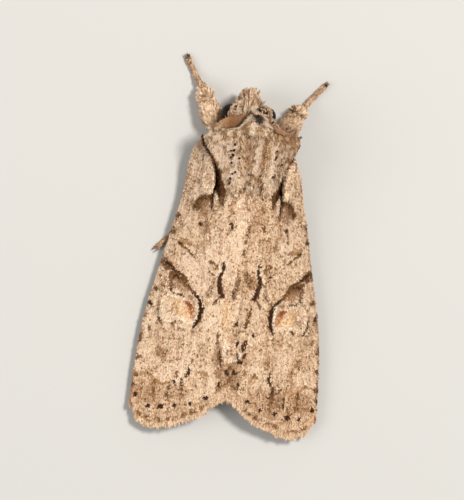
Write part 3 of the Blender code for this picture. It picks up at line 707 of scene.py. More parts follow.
def coat_piece(name, tufts, cover, seed):
    """One joined mesh of many tufts, whose length, width and lift vary a little."""
    count, cut = len(tufts), cover.cut
    rng = np.random.default_rng(seed)
    length = cover.length * rng.uniform(0.8, 1.2, count)
    width = cover.width * rng.uniform(0.8, 1.2, count)
    lift = cover.lift * rng.uniform(0.4, 1.6, count)
    up = unit(tufts.up)
    along = unit(tufts.lie - up * np.sum(tufts.lie * up, -1, keepdims=True))
    across = np.cross(along, up)
    angle = np.radians(rng.normal(0, cover.turn, count))[:, None]
    along, across = (
        along * np.cos(angle) + across * np.sin(angle), across * np.cos(angle) - along * np.sin(angle)
    )
    roll = rng.normal(0, 0.2, count)[:, None]  # some lie with one edge a little higher
    across = unit(across + up * roll)
    a, b, c = cut.points.T
    rise = lift[:, None] * b + cover.bow * 4 * b * (1 - b) - SINK * (1 - b)
    places = (
        tufts.roots[:, None]
        + across[:, None] * (a * width[:, None])[..., None]
        + along[:, None] * (b * length[:, None])[..., None]
        + up[:, None] * (rise + c * cover.thick)[..., None]
    )
    places[..., 2] = np.maximum(places[..., 2], FLOOR_GAP)
    tip = np.clip((b - 0.45) / 0.5, 0, 1)[None, :, None]
    colour = tufts.colour[:, None] * (1 - tip) + tufts.tip_colour[:, None] * tip
    # Each tuft is darker towards its root: painted shade where it lies under its neighbours.
    colour = colour * (0.8 + 0.2 * b)[None, :, None]
    faces = np.array(cut.faces)
    corners = (faces[None] + np.arange(count)[:, None, None] * len(cut.points)).reshape(-1)
    patch = vectors(a * 0.9, b - 0.5) * PATCH
    low, high = tufts.spot.min(0), tufts.spot.max(0)
    spots = (0.01 + 0.98 * (tufts.spot - low) / (high - low))[:, None] + patch
    mesh = bpy.data.meshes.new(name)
    mesh.vertices.add(count * len(cut.points))
    mesh.vertices.foreach_set("co", to_world(places).astype(np.float32).ravel())
    mesh.loops.add(len(corners))
    mesh.loops.foreach_set("vertex_index", corners.astype(np.int32))
    mesh.polygons.add(len(corners) // 3)
    mesh.polygons.foreach_set("loop_start", np.arange(0, len(corners), 3, dtype=np.int32))
    mesh.update(calc_edges=True)
    mesh.shade_flat()
    paint(mesh, colour.reshape(-1, 3))
    layer = mesh.uv_layers.new(name="OFBake")
    layer.uv.foreach_set("vector", spots.reshape(-1, 2)[corners].astype(np.float32).ravel())
    add_piece(name, mesh, HAIR_FINISH if cut is HAIR else SCALE_FINISH)


def paint(mesh, colour):
    """Stores a colour for each of the mesh's points."""
    layer = mesh.color_attributes.new("coat", "FLOAT_COLOR", "POINT")
    full = np.concatenate((colour, np.ones((len(colour), 1))), -1)
    layer.data.foreach_set("color", full.astype(np.float32).ravel())


def new_mesh(name, bm):
    """The built shape as a mesh."""
    mesh = bpy.data.meshes.new(name)
    bm.to_mesh(mesh)
    bm.free()
    return mesh


def new_object(name, data):
    """A new object in the scene."""
    thing = bpy.data.objects.new(name, data)
    bpy.context.scene.collection.objects.link(thing)
    return thing


def add_piece(name, mesh, material):
    """Adds a piece of the moth to the scene."""
    mesh.materials.append(material)
    piece = new_object(name, mesh)
    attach(piece, "root")
    return piece


# ---------------------------------------------------------------- materials


def new_material(name, roughness, specular=0.5):
    """A new material, its node tree and its shader."""
    material = bpy.data.materials.new(name)
    material.use_nodes = True
    shader = material.node_tree.nodes["Principled BSDF"]
    shader.inputs["Roughness"].default_value = roughness
    shader.inputs["Specular IOR Level"].default_value = specular
    return material, material.node_tree, shader


def add_node(tree, kind, **values):
    """A new node with these inputs set. An underscore stands for a space in an input's name."""
    node = tree.nodes.new("ShaderNode" + kind)
    for name, value in values.items():
        node.inputs[name.replace("_", " ")].default_value = value
    return node


def add_texture(tree, kind, **values):
    """A texture laid out by the object's own coordinates."""
    texture = add_node(tree, kind, **values)
    tree.links.new(add_node(tree, "TexCoord").outputs["Object"], texture.inputs["Vector"])
    return texture


def tinted(tree, shader, shade):
    """Gives the shader a colour that is multiplied by this shade, and returns the colour's socket."""
    mix = add_node(tree, "Mix", Factor=1.0)
    mix.data_type, mix.blend_type = "RGBA", "MULTIPLY"
    tree.links.new(shade, mix.inputs["B"])
    tree.links.new(mix.outputs["Result"], shader.inputs["Base Color"])
    return mix.inputs["A"]


def roughened(tree, shader, height, **values):
    """Gives the shader a bump from this height."""
    bump = add_node(tree, "Bump", **values)
    tree.links.new(height, bump.inputs["Height"])
    tree.links.new(bump.outputs["Normal"], shader.inputs["Normal"])
    return bump


def finish(name, roughness, grain, bump, sheen=0.0, painted_shade=0.0):
    """The coat's own colours, varied by a fine grain that also roughens the surface, and darkened by any
    painted shade.
    """
    material, tree, shader = new_material(name, roughness, 0.12)
    shader.inputs["Sheen Weight"].default_value = sheen
    shader.inputs["Sheen Roughness"].default_value = 0.4
    dye = add_node(tree, "VertexColor")
    dye.layer_name = "coat"
    speck = add_texture(tree, "TexNoise", Scale=grain, Detail=3.0)
    shade = add_node(tree, "MapRange", From_Min=0.3, From_Max=0.7, To_Min=0.8 - painted_shade, To_Max=1.08 - painted_shade)
    tree.links.new(speck.outputs["Fac"], shade.inputs["Value"])
    tree.links.new(dye.outputs["Color"], tinted(tree, shader, shade.outputs["Result"]))
    roughened(tree, shader, speck.outputs["Fac"], Strength=bump, Distance=0.00002)
    return material


SCALE_FINISH = finish("wing_scales", 0.6, 14000, 0.25)
HAIR_FINISH = finish("body_hairs", 0.6, 12000, 0.2, sheen=0.03)
# The bare skin and sheets are painted darker, as painted shade where they show between the scales and hairs.
SKIN_FINISH = finish("bare_skin", 0.7, 16000, 0.8, painted_shade=0.3)

# ---------------------------------------------------------------- wings


def scale_roots(sheet, row_gap, along_row, rng):
    """Roots in jittered rows over a sheet, as out, y and the share of the way across."""
    outs, ys, shares = [], [], []
    front = float(np.max(sheet.front(np.linspace(-1, 6, 60))))
    back = float(np.min(sheet.back(np.linspace(-1, 6, 60))))
    for number, y in enumerate(np.arange(front, back, -row_gap)):
        out = np.linspace(sheet.inner(y), sheet.outer(y), 90)
        height = sheet.height(out, np.full_like(out, y))
        arc = arc_length(out, height)
        marks = np.arange(0.5 * (number % 2), arc[-1] / along_row)
        marks = (marks + rng.uniform(-0.45, 0.45, len(marks))) * along_row
        outs.append(np.interp(marks, arc, out))
        shares.append(marks / arc[-1])
        ys.append(y + rng.uniform(-0.5, 0.5, len(marks)) * row_gap)
    out, y, share = (np.concatenate(rows) for rows in (outs, ys, shares))
    chosen = sheet.inside(out, y)
    return out[chosen], y[chosen], np.clip(share[chosen], 0, 1)


SCALE_REACH = 0.12  # a scale shows its tip, this far from its root


def wing_tufts(sheet, out, y, share, dye, under=False):
    """A wing's scales, coloured by where their tips reach."""
    lie = sheet.lie(out, y)
    tip = SCALE_REACH * unit(lie)
    colour = dye(out + tip[:, 0] * sheet.side, y + tip[:, 1], sheet.side)
    up = sheet.normals(out, y) * (-1 if under else 1)
    return Tufts(sheet.places(out, y, SHEET if under else 0.0), up, lie, colour, vectors(share, y))


def make_sheet(name, sheet, across, along, dye, node):
    """The bare sheet under the scales, in the same markings."""
    bm = bmesh.new()
    bmesh.ops.create_grid(bm, x_segments=across, y_segments=along, size=0.5)
    mesh = new_mesh(name, bm)
    flat = np.empty(len(mesh.vertices) * 3)
    mesh.vertices.foreach_get("co", flat)
    outward, forward = (flat.reshape(-1, 3)[:, axis] + 0.5 for axis in (0, 1))
    out = sheet.inner(0.0) + outward * (sheet.outer(0.0) - sheet.inner(0.0))
    for _ in range(4):  # the margins go by out, and the edges by y
        y = sheet.back(out) + forward * (sheet.front(out) - sheet.back(out))
        out = sheet.inner(y) + outward * (sheet.outer(y) - sheet.inner(y))
    mesh.vertices.foreach_set("co", to_world(sheet.places(out, y)).ravel())
    if sheet.side == LEFT:
        mesh.flip_normals()
    mesh.shade_smooth()
    paint(mesh, dye(out, y, sheet.side))
    piece = add_piece(name, mesh, SKIN_FINISH)
    wall = piece.modifiers.new("thickness", "SOLIDIFY")
    wall.thickness = SHEET * MM
    wall.offset = -1
    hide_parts(node)


MARGIN_END, MARGIN_STEPS = 5.66, 900
RANKS = (0.98, 0.88, 0.78, 0.69, 0.61, 0.53, 0.46, 0.4, 0.34)  # the fringe's, from its tips inwards


def fringe_roots(side, step, inset, rng):
    """Places along the hind margin, this far inside the fringe's tips, and the way that the fringe points."""
    out = np.linspace(INNER[side](-9.0) + 0.02, MARGIN_END, MARGIN_STEPS)
    y = HIND_MARGIN(out)
    arc = arc_length(out, y)
    marks = np.arange(0, arc[-1], step)
    marks = marks + rng.uniform(-0.5, 0.5, len(marks)) * step
    out, y = np.interp(marks, arc, out), np.interp(marks, arc, y)
    stations = np.linspace(out[0], MARGIN_END, MARGIN_STEPS)
    ahead, behind = (np.interp(marks + reach, arc, stations) for reach in (0.25, -0.25))
    tangent = unit(vectors(ahead - behind, HIND_MARGIN(ahead) - HIND_MARGIN(behind)))
    away = unit(vectors(tangent[:, 1], -tangent[:, 0]) + np.array((0, -0.8)))
    depth = inset * rng.uniform(0.85, 1.15, len(out))[:, None]
    root = vectors(out, y) - away * depth
    return root[:, 0], root[:, 1], away, marks / arc[-1]


def make_fringe(name, sheet):
    """Narrow scales in ranks beyond the hind margin."""
    rng = np.random.default_rng(60 + sheet.side)
    groups, lengths = [], []
    for inset in RANKS:
        length = 0.27 if inset > 0.5 else 0.34
        out, y, away, share = fringe_roots(sheet.side, 0.04, inset, rng)
        lie = vectors(away[:, 0] * sheet.side, away[:, 1], -0.05)
        beyond = forewing_dye(out + away[:, 0] * 0.2, y + away[:, 1] * 0.2, sheet.side)
        spot = vectors(share, inset + rng.uniform(-0.05, 0.05, len(out)))
        roots = sheet.places(out, y, 0.02)
        groups.append(Tufts(roots, sheet.normals(out, y), lie, beyond, spot))
        lengths.append(length * (0.7 + 0.6 * noise(roots, (0.14, 0.5, 9), 64)))
    cover = Cover(SCALE, np.concatenate(lengths), 0.075, 0.012, 0.05, 0.0, 14)
    coat_piece(name, joined(groups), cover, 70 + sheet.side)


def make_forewing(word, side):
    """The sheet, the scales above and below it, those round its front edge, and the fringe."""
    sheet = forewing_sheet(side)
    name = f"forewing_{word}"
    make_sheet(f"{name}_sheet", sheet, 90, 250, forewing_dye, name)
    rng = np.random.default_rng(20 + side)
    top = wing_tufts(sheet, *scale_roots(sheet, 0.056, 0.056, rng), forewing_dye)
    fore = top.roots[:, 1] > np.median(top.roots[:, 1])
    for part, chosen in (("fore", fore), ("hind", ~fore)):
        cover = Cover(WING_SCALE, 0.17, 0.09, 0.012, 0.05, 0.0, 18)
        coat_piece(f"{name}_{part}_scales", top.keep(chosen), cover, 30 + side)
    under = wing_tufts(sheet, *scale_roots(sheet, 0.13, 0.11, rng), underside_dye, under=True)
    coat_piece(f"{name}_underscales", under, Cover(SCALE, 0.28, 0.17, 0.012, 0.03, 0.0, 8), 35 + side)
    make_edge(f"{name}_costa_scales", sheet, rng)
    make_fringe(f"{name}_fringe", sheet)


def make_edge(name, sheet, rng):
    """Scales that wrap the wing's front edge."""
    count, rows = 420, 4
    y = np.repeat(np.linspace(6.2, -9.9, count), rows) + rng.uniform(-0.02, 0.02, count * rows)
    out = sheet.outer(y) - rng.uniform(-0.01, 0.08, len(y))
    below = np.tile((0.0, 0.03, 0.06, 0.09), count)
    tilt = np.tile((0.5, 0.1, -0.3, -0.7), count)
    up = unit(vectors(float(sheet.side), 0.2, tilt))
    lie = np.tile((0.25 * sheet.side, -1.0, 0.02), (len(y), 1))
    colour = forewing_dye(out, y, sheet.side)
    tufts = Tufts(sheet.places(out, y, below), up, lie, colour, vectors(below, y))
    coat_piece(name, tufts, Cover(SCALE, 0.24, 0.11, 0.012, 0.04, 0.0, 10), 80 + sheet.side)


def make_hindwing(word, side):
    """The sheet and the larger scales above and below it."""
    sheet = hindwing_sheet(side)
    name = f"hindwing_{word}"
    make_sheet(f"{name}_sheet", sheet, 40, 100, hindwing_dye, name)
    rng = np.random.default_rng(90 + side)
    top = wing_tufts(sheet, *scale_roots(sheet, 0.14, 0.12, rng), hindwing_dye)
    under = wing_tufts(sheet, *scale_roots(sheet, 0.14, 0.12, rng), hindwing_dye, under=True)
    for part, tufts in (("scales", top), ("underscales", under)):
        cover = Cover(SCALE, 0.3, 0.18, 0.012, 0.03, 0.0, 8)
        coat_piece(f"{name}_{part}", tufts, cover, 95 + side)


# ---------------------------------------------------------------- the body's skin

LEGS = ("foreleg", "midleg", "hindleg")
LENGTHS = ("coxa", "femur", "tibia", "tarsus")
LIMBS = [f"{leg}_{word}_{part}" for leg in LEGS for word in SIDES for part in LENGTHS]
FEELERS = [f"antenna_{part}_{word}" for part in ("base", "shaft") for word in SIDES]
PALPS = [f"palp_{word}" for word in SIDES]
TRUNK = ["head", "neck", "collar", "thorax", "abdomen", "tegula_left", "tegula_right"]
FLESH = TRUNK + PALPS + FEELERS + LIMBS
VOXEL = 0.075
SWELL = 0.075  # each solid grows this much first, so that neighbours fuse over the gaps between them
BODY_DEPTH = 0.12  # of the coat over the trunk
PLATE_DEPTH = 0.08  # over the shoulder plates
LIMB_DEPTH = 0.07
FOOT_DEPTH = 0.11
FEELER_DEPTH = 0.15
HEAD_DEPTH = 0.26
SKIN_FLOOR = 0.02  # the skin stays this far over the floor
BURIED = 0.09  # a solid's surface this much further over the skin than its coat's depth is inside a neighbour


def solid_of(node):
    """The node's surface as (points, triangles), merged, in design millimetres."""
    bm = bmesh.new()
    bm.from_mesh(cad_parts[node].data)
    bmesh.ops.remove_doubles(bm, verts=bm.verts[:], dist=1e-6)
    bmesh.ops.triangulate(bm, faces=bm.faces[:])
    bm.verts.index_update()
    points = from_world([vert.co for vert in bm.verts])
    triangles = np.array([[vert.index for vert in face.verts] for face in bm.faces])
    bm.free()
    return points, triangles


SOLIDS = {node: solid_of(node) for node in FLESH}


def edges_of(points, triangles):
    """Each triangle's first corner, its two edges from there, and their cross product."""
    first, second, third = (points[triangles[:, corner]] for corner in range(3))
    return first, second - first, third - first, np.cross(second - first, third - first)


def samples(node, gap, rng):
    """Places spread over a node's surface about this far apart, with the faces' normals."""
    first, along, across, cross = edges_of(*SOLIDS[node])
    area = np.linalg.norm(cross, axis=1) / 2
    count = int(area.sum() / gap**2)
    shares = (np.arange(count) + rng.uniform(0, 1, count)) / count
    pick = np.minimum(np.searchsorted(np.cumsum(area) / area.sum(), shares), len(area) - 1)
    u, v = rng.uniform(0, 1, (2, count, 1))
    u, v = np.where(u + v > 1, (1 - u, 1 - v), (u, v))
    places = first[pick] + along[pick] * u + across[pick] * v
    return places, unit(cross[pick])


def coat_depth(node):
    """How far the skin lies under the node's solid."""
    if node in FEELERS:
        return FEELER_DEPTH
    if node == "head":
        return HEAD_DEPTH
    if node in TRUNK:
        return PLATE_DEPTH if node.startswith("tegula") else BODY_DEPTH
    return FOOT_DEPTH if node.endswith("tarsus") else LIMB_DEPTH


def make_skin():
    """One skin over body, limbs and feelers: the solids fused, smoothed and drawn in by the coat's depth."""
    bm = bmesh.new()
    for node in FLESH:
        points, triangles = SOLIDS[node]
        cross = edges_of(points, triangles)[3]
        normals = np.zeros_like(points)
        for corner in range(3):
            np.add.at(normals, triangles[:, corner], cross)
        verts = [bm.verts.new(place) for place in points + unit(normals) * SWELL]
        for triangle in triangles:
            bm.faces.new([verts[index] for index in triangle])
    fused = new_object("fused", new_mesh("fused", bm))
    remesh = fused.modifiers.new("fuse", "REMESH")
    remesh.mode = "VOXEL"
    remesh.voxel_size = VOXEL
    smooth = fused.modifiers.new("smooth", "SMOOTH")
    smooth.factor = 0.5
    smooth.iterations = 4
    graph = bpy.context.evaluated_depsgraph_get()
    skin = bpy.data.meshes.new_from_object(fused.evaluated_get(graph))
    bpy.data.objects.remove(fused)
    places, normals = np.empty((2, len(skin.vertices) * 3))
    skin.vertices.foreach_get("co", places)
    skin.vertices.foreach_get("normal", normals)
    places, normals = places.reshape(-1, 3), normals.reshape(-1, 3)
    labels = nearest_nodes(places)
    depth = np.array([coat_depth(node) for node in FLESH])[labels] + SWELL
    places = places - normals * depth[:, None]
    places[:, 2] = np.maximum(places[:, 2], SKIN_FLOOR)
    colour = np.zeros_like(places)
    for index, node in enumerate(FLESH):
        chosen = labels == index
        if chosen.any():
            colour[chosen] = body_dye(node, places[chosen])[0]
    skin.vertices.foreach_set("co", to_world(places).ravel())
    skin.materials.clear()
    skin.shade_smooth()
    paint(skin, colour)
    skin.name = "body_skin"
    piece = add_piece("body_skin", skin, SKIN_FINISH)
    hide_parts(*FLESH)
    polygons = [tuple(polygon.vertices) for polygon in skin.polygons]
    return BVHTree.FromPolygons([Vector(place) for place in places], polygons)


def nearest_nodes(places):
    """Which flesh node each place belongs to."""
    rng = np.random.default_rng(1)
    spread = [samples(node, 0.12, rng)[0] for node in FLESH]
    owners = np.concatenate([np.full(len(group), index) for index, group in enumerate(spread)])
    tree = KDTree(len(owners))
    for index, place in enumerate(np.concatenate(spread)):
        tree.insert(place, index)
    tree.balance()
    return np.array([owners[tree.find(place)[1]] for place in places])


# ---------------------------------------------------------------- the body's markings and lie

CAPE_HALF = Profile((2.9, 1.3), (4.0, 1.75), (5.3, 2.25), (6.3, 2.85), (6.85, 2.95))
COLLAR_RIM = Profile(
    (-2.9, 6.98), (-2.0, 7.04), (-1.46, 7.1), (-0.98, 7.25), (-0.76, 7.5), (-0.5, 7.8),
    (-0.3, 8.0), (-0.15, 8.1), (0.0, 8.13), (0.35, 8.0), (0.6, 7.75), (0.72, 7.5),
    (0.85, 7.25), (1.0, 7.12), (1.3, 7.06), (2.9, 6.95),
)
COLLAR_FRONT = Profile(
    (-2.9, 7.05), (-2.3, 7.5), (-2.0, 7.78), (-1.5, 7.98), (-0.3, 8.17),
    (0.3, 8.1), (0.66, 7.9), (1.1, 7.6), (2.0, 7.25), (2.9, 7.05),
)
# Marks of the collar, in the same way as the wings': the rim's pale line, and the painted shadow in front of
# it.
RIM_LINE = (
    (-1.7, 7.05), (-1.46, 7.1), (-1.18, 7.15), (-0.98, 7.25),
    (-0.76, 7.5), (-0.52, 7.78), (-0.32, 7.98), (-0.15, 8.1),
)
RIM_SHADE = ((-1.2, 7.28), (-0.98, 7.43), (-0.83, 7.63), (-0.62, 7.88), (-0.35, 8.1))
COLLAR_MARKS = (
    (TAN, 0.3, 0.5, 0.3, ((-1.0, 6.75), (-0.7, 7.1))),
    (TAN, 0.4, 0.6, 0.3, ((0.9, 6.8), (2.1, 6.8))),
    (LAVENDER, 0.95, 0.16, 0.08, ((-0.34, 7.8), (-0.27, 7.5))),
    (LAVENDER, 0.9, 0.24, 0.10, ((0.40, 7.85), (0.46, 7.45))),
    (WHITE, 0.95, 0.20, 0.07, ((-0.27, 7.42), (-0.3, 6.9), (-0.33, 6.45))),
    (WHITE, 0.9, 0.13, 0.07, ((0.5, 7.35), (0.46, 6.6))),
    (GOLD, 0.5, 0.3, 0.3, ((0.12, 7.1), (0.12, 6.8))),
    (SLATE, 0.5, 0.16, 0.10, ((0.12, 7.6), (0.2, 7.3))),
)
CREST_SPOT = ((0.0, 7.8), (0.25, 0.4))
# Black specks over the thorax: x, y and width.
SPECKS = (
    (-1.26, 6.2, 0.15), (-1.27, 5.84, 0.13), (-1.3, 5.58, 0.15), (-1.42, 5.82, 0.05), (-1.4, 5.42, 0.05),
    (-1.33, 5.1, 0.08), (-0.92, 5.4, 0.07), (-1.06, 4.58, 0.09), (-1.24, 4.46, 0.06), (-1.31, 4.17, 0.13),
    (-1.31, 3.9, 0.1), (1.32, 6.05, 0.05), (1.32, 5.68, 0.15), (1.3, 5.55, 0.08), (1.75, 5.3, 0.04),
    (1.26, 4.5, 0.04),
)
# Stripes along the thorax and marks across it, in the same way as the wings'.
TRUNK_MARKS = (
    (GOLD, 0.42, (0.5, 0.5, 0.35), 0.25, ((-0.42, 6.5), (-0.34, 5.8), (-0.2, 4.9))),
    (GOLD, 0.42, (0.4, 0.42, 0.35), 0.25, ((0.66, 6.5), (0.66, 5.8), (0.6, 4.9))),
    (WHITE, 0.65, (0.1, 0.24, 0.22, 0.1), 0.14, ((0.16, 6.7), (0.2, 6.2), (0.2, 5.4), (0.18, 4.6))),
    (WHITE, 0.5, (0.2, 0.26, 0.2), 0.15, ((1.08, 6.1), (1.12, 5.0), (1.05, 4.0))),
    (BROWN, 0.75, 0.12, 0.08, ((-0.15, 4.48), (0.0, 4.5))),
    (BROWN, 0.75, 0.12, 0.08, ((0.42, 4.5), (0.52, 4.45))),
    (GOLD * 0.8, 0.7, 0.18, 0.12, ((0.05, 4.3), (0.35, 4.2))),
    (DARK, 0.8, 0.04, 0.04, ((1.26, 5.0), (1.28, 4.35))),
    (PALE, 0.8, 0.18, 0.10, ((-0.05, 3.72), (0.15, 3.45), (0.35, 3.3))),
    (BROWN, 0.5, 0.12, 0.10, ((0.05, 3.5), (0.0, 3.2))),
    (ORANGE, 0.2, 0.4, 0.3, ((-0.8, 3.5), (-0.3, 3.4))),
)


def trunk_dye(places):
    """Thorax, collar and shoulder plates: a hoary cape, golden in the middle, with a dark crest spot, and the
    right side darker in painted shade.
    """
    x, y = places[:, 0], places[:, 1]
    out = np.abs(x)
    strands = noise(places, (0.08, 0.16, 9), 31)
    grain = noise(places, (0.12, 0.17, 9), 34)
    tone = -0.02 + 0.5 * chance(places, 32) ** 1.6 + 0.85 * (strands - 0.47)
    tone += 0.25 * (noise(places, 0.4, 30) - 0.5)
    tone += 0.4 * eased((0.4 - grain) / 0.1) - 0.25 * eased((grain - 0.58) / 0.1)
    # Random dark hairs; then the right side darker and the left paler, as painted shade and painted light.
    tone += 0.5 * (chance(places, 33) < 0.12) + 0.32 * eased((x - 0.6) / 1.2)
    tone -= 0.1 * eased((-0.6 - x) / 0.8)
    colour = ramp(np.clip(tone, 0, 0.9))
    hoary = eased((out - 0.65) / 0.4) * eased((2.4 - out) / 0.6)
    hoary = hoary * eased((6.5 - y) / 0.5) * eased((y - 3.2) / 0.8)
    silk = noise(places, (0.09, 0.26, 9), 37)
    # The frost is weaker on the right side: more of the same painted shade.
    frost = 0.8 * hoary * eased((silk - 0.46) / 0.1) * (0.9 - 0.3 * (x > 0))
    colour = dyed(colour, WHITE * (0.95, 0.95, 0.98), frost)
    colour = dyed(colour, GOLD * 0.7, 0.75 * hoary * eased((0.4 - silk) / 0.08))
    band = eased((y - 6.1) / 0.35) * eased((out - 0.3) / 0.3)
    rusty = dyed(np.tile(GOLD * 0.9, (len(x), 1)), BROWN, (chance(places, 36) < 0.35) * 0.8)
    colour = dyed(colour, rusty, 0.85 * band * eased((0.5 - grain) / 0.1))
    colour = dyed(colour, WHITE, 0.7 * band * eased((silk - 0.62) / 0.08) * (x < 1.2))
    uneven = (0.7 + 0.7 * chance(places, 35))[:, None]
    marks = [(x, mark) for mark in TRUNK_MARKS]
    colour = marked(colour, places, y, marks, 140, 1.9 * (0.2 + 0.8 * grain + 0.8 * silk), 0.9, uneven)
    return collar_dye(places, colour)


def collar_dye(places, colour):
    """The collar's hollow front is brown behind a thin pale rim, with painted shade darkest beside the rim.
    """
    x, y = places[:, 0], places[:, 1]
    colour = marked(colour, places, y, [(x, mark) for mark in COLLAR_MARKS], 120, 1.7, 0.7)
    rim, front = COLLAR_RIM(x), COLLAR_FRONT(x)
    hollow = eased((y - rim + 0.02) / 0.05) * eased((y - 6.95) / 0.08)
    hollow = hollow * eased((2.3 + x) / 0.3) * eased((2.2 - x) / 0.6)
    share = np.clip((y - rim) / np.maximum(front - rim, 0.05), 0, 1)
    brown = dyed(np.tile(BROWN, (len(x), 1)), TAN * (0.9, 0.82, 0.72), eased(share * 1.6) * 0.8)
    brown = dyed(brown, BUFF, 0.6 * np.maximum(eased((x - 0.9) / 0.6), eased((-1.5 - x) / 0.5)))
    bands = 0.5 * (noise(places, (0.7, 0.1, 9), 42) - 0.5)
    brown = brown * (0.75 + 0.45 * chance(places, 41) + bands)[:, None] * np.array((0.9, 0.8, 0.7))
    colour = dyed(colour, brown, hollow)
    # Painted shade in the hollow beside the rim, painted shadow ahead of the rim, and a short dark line along
    # the rim's right end.
    shade = 0.85 * eased((share - 0.84) / 0.1) * hollow * eased((x + 1.3) / 0.3) * (x < 0.3)
    colour = dyed(colour, DARK, shade)
    colour = dyed(colour, DARK * 0.7, stroke(x, y, RIM_SHADE, (0.05, 0.15, 0.2, 0.18, 0.1), 0.07))
    colour = dyed(colour, DARK, 0.9 * stroke(x, y, ((0.85, 7.2), (1.05, 7.16)), 0.07, 0.06))
    line = stroke(x, y, RIM_LINE, (0.02, 0.04, 0.05, 0.05, 0.05, 0.05, 0.04, 0.03), 0.05)
    colour = dyed(colour, PALE, line)
    spot = blob(x, y, *CREST_SPOT, 0.25)
    return dyed(colour, SLATE * (0.7 + 0.9 * chance(places, 43))[:, None], spot)


def head_dye(places):
    """(root colours, tip colours): pale streaks with dark gaps, painted shadow in the slits between locks,
    rusty between the eyes, some brown tips.
    """
    x, y = places[:, 0], places[:, 1]
    streak = noise(places, (0.11, 0.4, 0.3), 52)
    tone = -0.06 + 0.42 * chance(places, 51) ** 1.6 + 0.6 * eased((0.40 - streak) / 0.12)
    tone = tone + 0.1 * eased(x / 0.6) - 0.3 * blob(x, y, (-1.08, 8.45), (0.16, 0.2), 0.4)
    tone = tone * (1 - 0.6 * eased((8.75 - y) / 0.25)) + 0.06 * eased((y - 9.0) / 0.4) - 0.05
    colour = dyed(ramp(np.clip(tone, 0, 0.95)), GREY * 1.5, 0.2)
    # Painted shadow in the slits between the head's locks.
    for slit in HEAD_SHADOW_SLITS:
        colour = dyed(colour, DARK * 0.6, stroke(x, y, slit, 0.05, 0.05))
    face = blob(x, y, (-0.25, 9.1), (0.4, 0.35), 0.6)
    colour = dyed(colour, RUST * 0.8, 0.7 * face * (noise(places, 0.08, 54) > 0.55))
    return colour, dyed(dyed(colour, PALE, 0.25), BROWN, 0.8 * (chance(places, 53) < 0.14))


def feeler_dye(node, places):
    """A feeler's base is a thin pale curl between painted shadows, and its shaft is ringed."""
    x, y = places[:, 0], places[:, 1]
    ring = 0.16 * (np.sin(y * 40) > 0.2) * node.startswith("antenna_shaft")
    colour = ramp(0.02 + 0.25 * chance(places, 81) + ring)
    if node.startswith("antenna_shaft"):
        return colour
    curl = stroke(x, y, FEELER_CURLS[node.endswith("right")], 0.17, 0.07)
    if node.endswith("left"):
        # The left base: painted shadow in the gap beside the head, except on the pale curl.
        return dyed(colour, DARK * 0.35, 1.2 * stroke(x, y, HEAD_SHADOW_SLITS[0], 0.09, 0.05) * (1 - curl))
    # The right base: painted shadow outside the pale curl.
    side = dyed(ramp(0.1 + 0.4 * chance(places, 82)), DARK * 0.35, eased((x - 0.95) / 0.15))
    return dyed(side, colour, curl)


def limb_dye(node, places):
    """(root colours, tip colours): cream with brown flecks, and feet ringed with brown that end dark; all but
    the left foreleg are darker in painted shade.
    """
    tone = 0.04 + 0.5 * chance(places, 61) ** 1.7 + 0.35 * (chance(places, 62) < 0.13)
    # Every leg but the left foreleg is a little darker: painted shade.
    tone += 0.5 * (noise(places, 0.22, 63) - 0.5) + 0.1 * (not node.startswith("foreleg_left"))
    colour = ramp(tone)
    if node.endswith("tarsus"):
        share = limb_share(node, places)
        colour = ramp(0.24 + 0.35 * chance(places, 61) ** 1.5 + 0.5 * (noise(places, 0.2, 63) - 0.5))
        ring = np.abs((share * 5) % 1 - 0.98) < 0.07
        colour = dyed(colour, BROWN, 0.8 * ring)
        dark = 0.9 if node.startswith("foreleg") else 0.2
        colour = dyed(colour, UMBER, dark * eased((share - 0.92) / 0.05))
    return colour, dyed(colour, PALE, 0.25)


HEAD_ASIDE = -0.32  # the head is held this far towards the moth's left
# Painted shadows: in the gap beside the head on the left, and in slits between the head's locks.
HEAD_SHADOW_SLITS = (((-1.28, 8.5), (-1.25, 8.0)), ((0.18, 8.5), (0.24, 8.36)), ((-0.42, 8.72), (-0.4, 8.5)))
FEELER_CURLS = (
    ((-1.47, 8.75), (-1.6, 8.4), (-1.45, 8.15), (-1.72, 7.85)),
    ((0.75, 8.3), (0.95, 7.95), (1.15, 7.7), (1.5, 7.5), (2.0, 7.2)),
)


def body_dye(node, places):
    """(root colours, tip colours) of a flesh node's coat at these places."""
    if node in ("thorax", "collar", "tegula_left", "tegula_right", "neck"):
        colour = trunk_dye(places)
        return colour, dyed(colour, PALE, 0.08)
    if node == "head" or node in PALPS:
        return head_dye(places)
    if node == "abdomen":
        tone = 0.22 + 0.3 * chance(places, 71) + 0.12 * np.cos(places[:, 1] * 2 * math.pi / 0.95)
        colour = ramp(tone)
        return colour, colour
    if node in FEELERS:
        colour = feeler_dye(node, places)
        return colour, colour
    return limb_dye(node, places)


def limb_ends(node):
    """Where a length of leg starts and ends, from its box: it runs outwards, down, and forward or back."""
    low, high = (from_world(corner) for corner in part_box(node))
    inset = 0.25
    out_first, out_last = (high[0], low[0]) if low[0] < -1.2 or high[0] < 0 else (low[0], high[0])
    forward = node.startswith("foreleg")
    y_first, y_last = (low[1], high[1]) if forward else (high[1], low[1])
    lift = 0.5 * (high[2] + low[2]) if node.endswith("coxa") else high[2]
    start = np.array((out_first, y_first, lift - inset))
    end = np.array((out_last, y_last, max(low[2] + inset, 0.18)))
    start[:2] += inset * np.sign(end[:2] - start[:2])
    end[:2] -= inset * np.sign(end[:2] - start[:2])
    return start, end


def limb_share(node, places):
    """How far along the length of leg each place is, from 0 to 1."""
    start, end = limb_ends(node)
    along = end - start
    return np.clip(((places - start) @ along) / (along @ along), 0, 1)


def cape_sway(places):
    """How far the thorax's hairs lean to the right: in towards the middle, and to and fro."""
    inward = -0.5 * np.clip((places[:, 0] - 0.2) / 0.4, -1, 1)
    return inward + 0.8 * (noise(places, (0.4, 0.6, 9), 93) - 0.5)


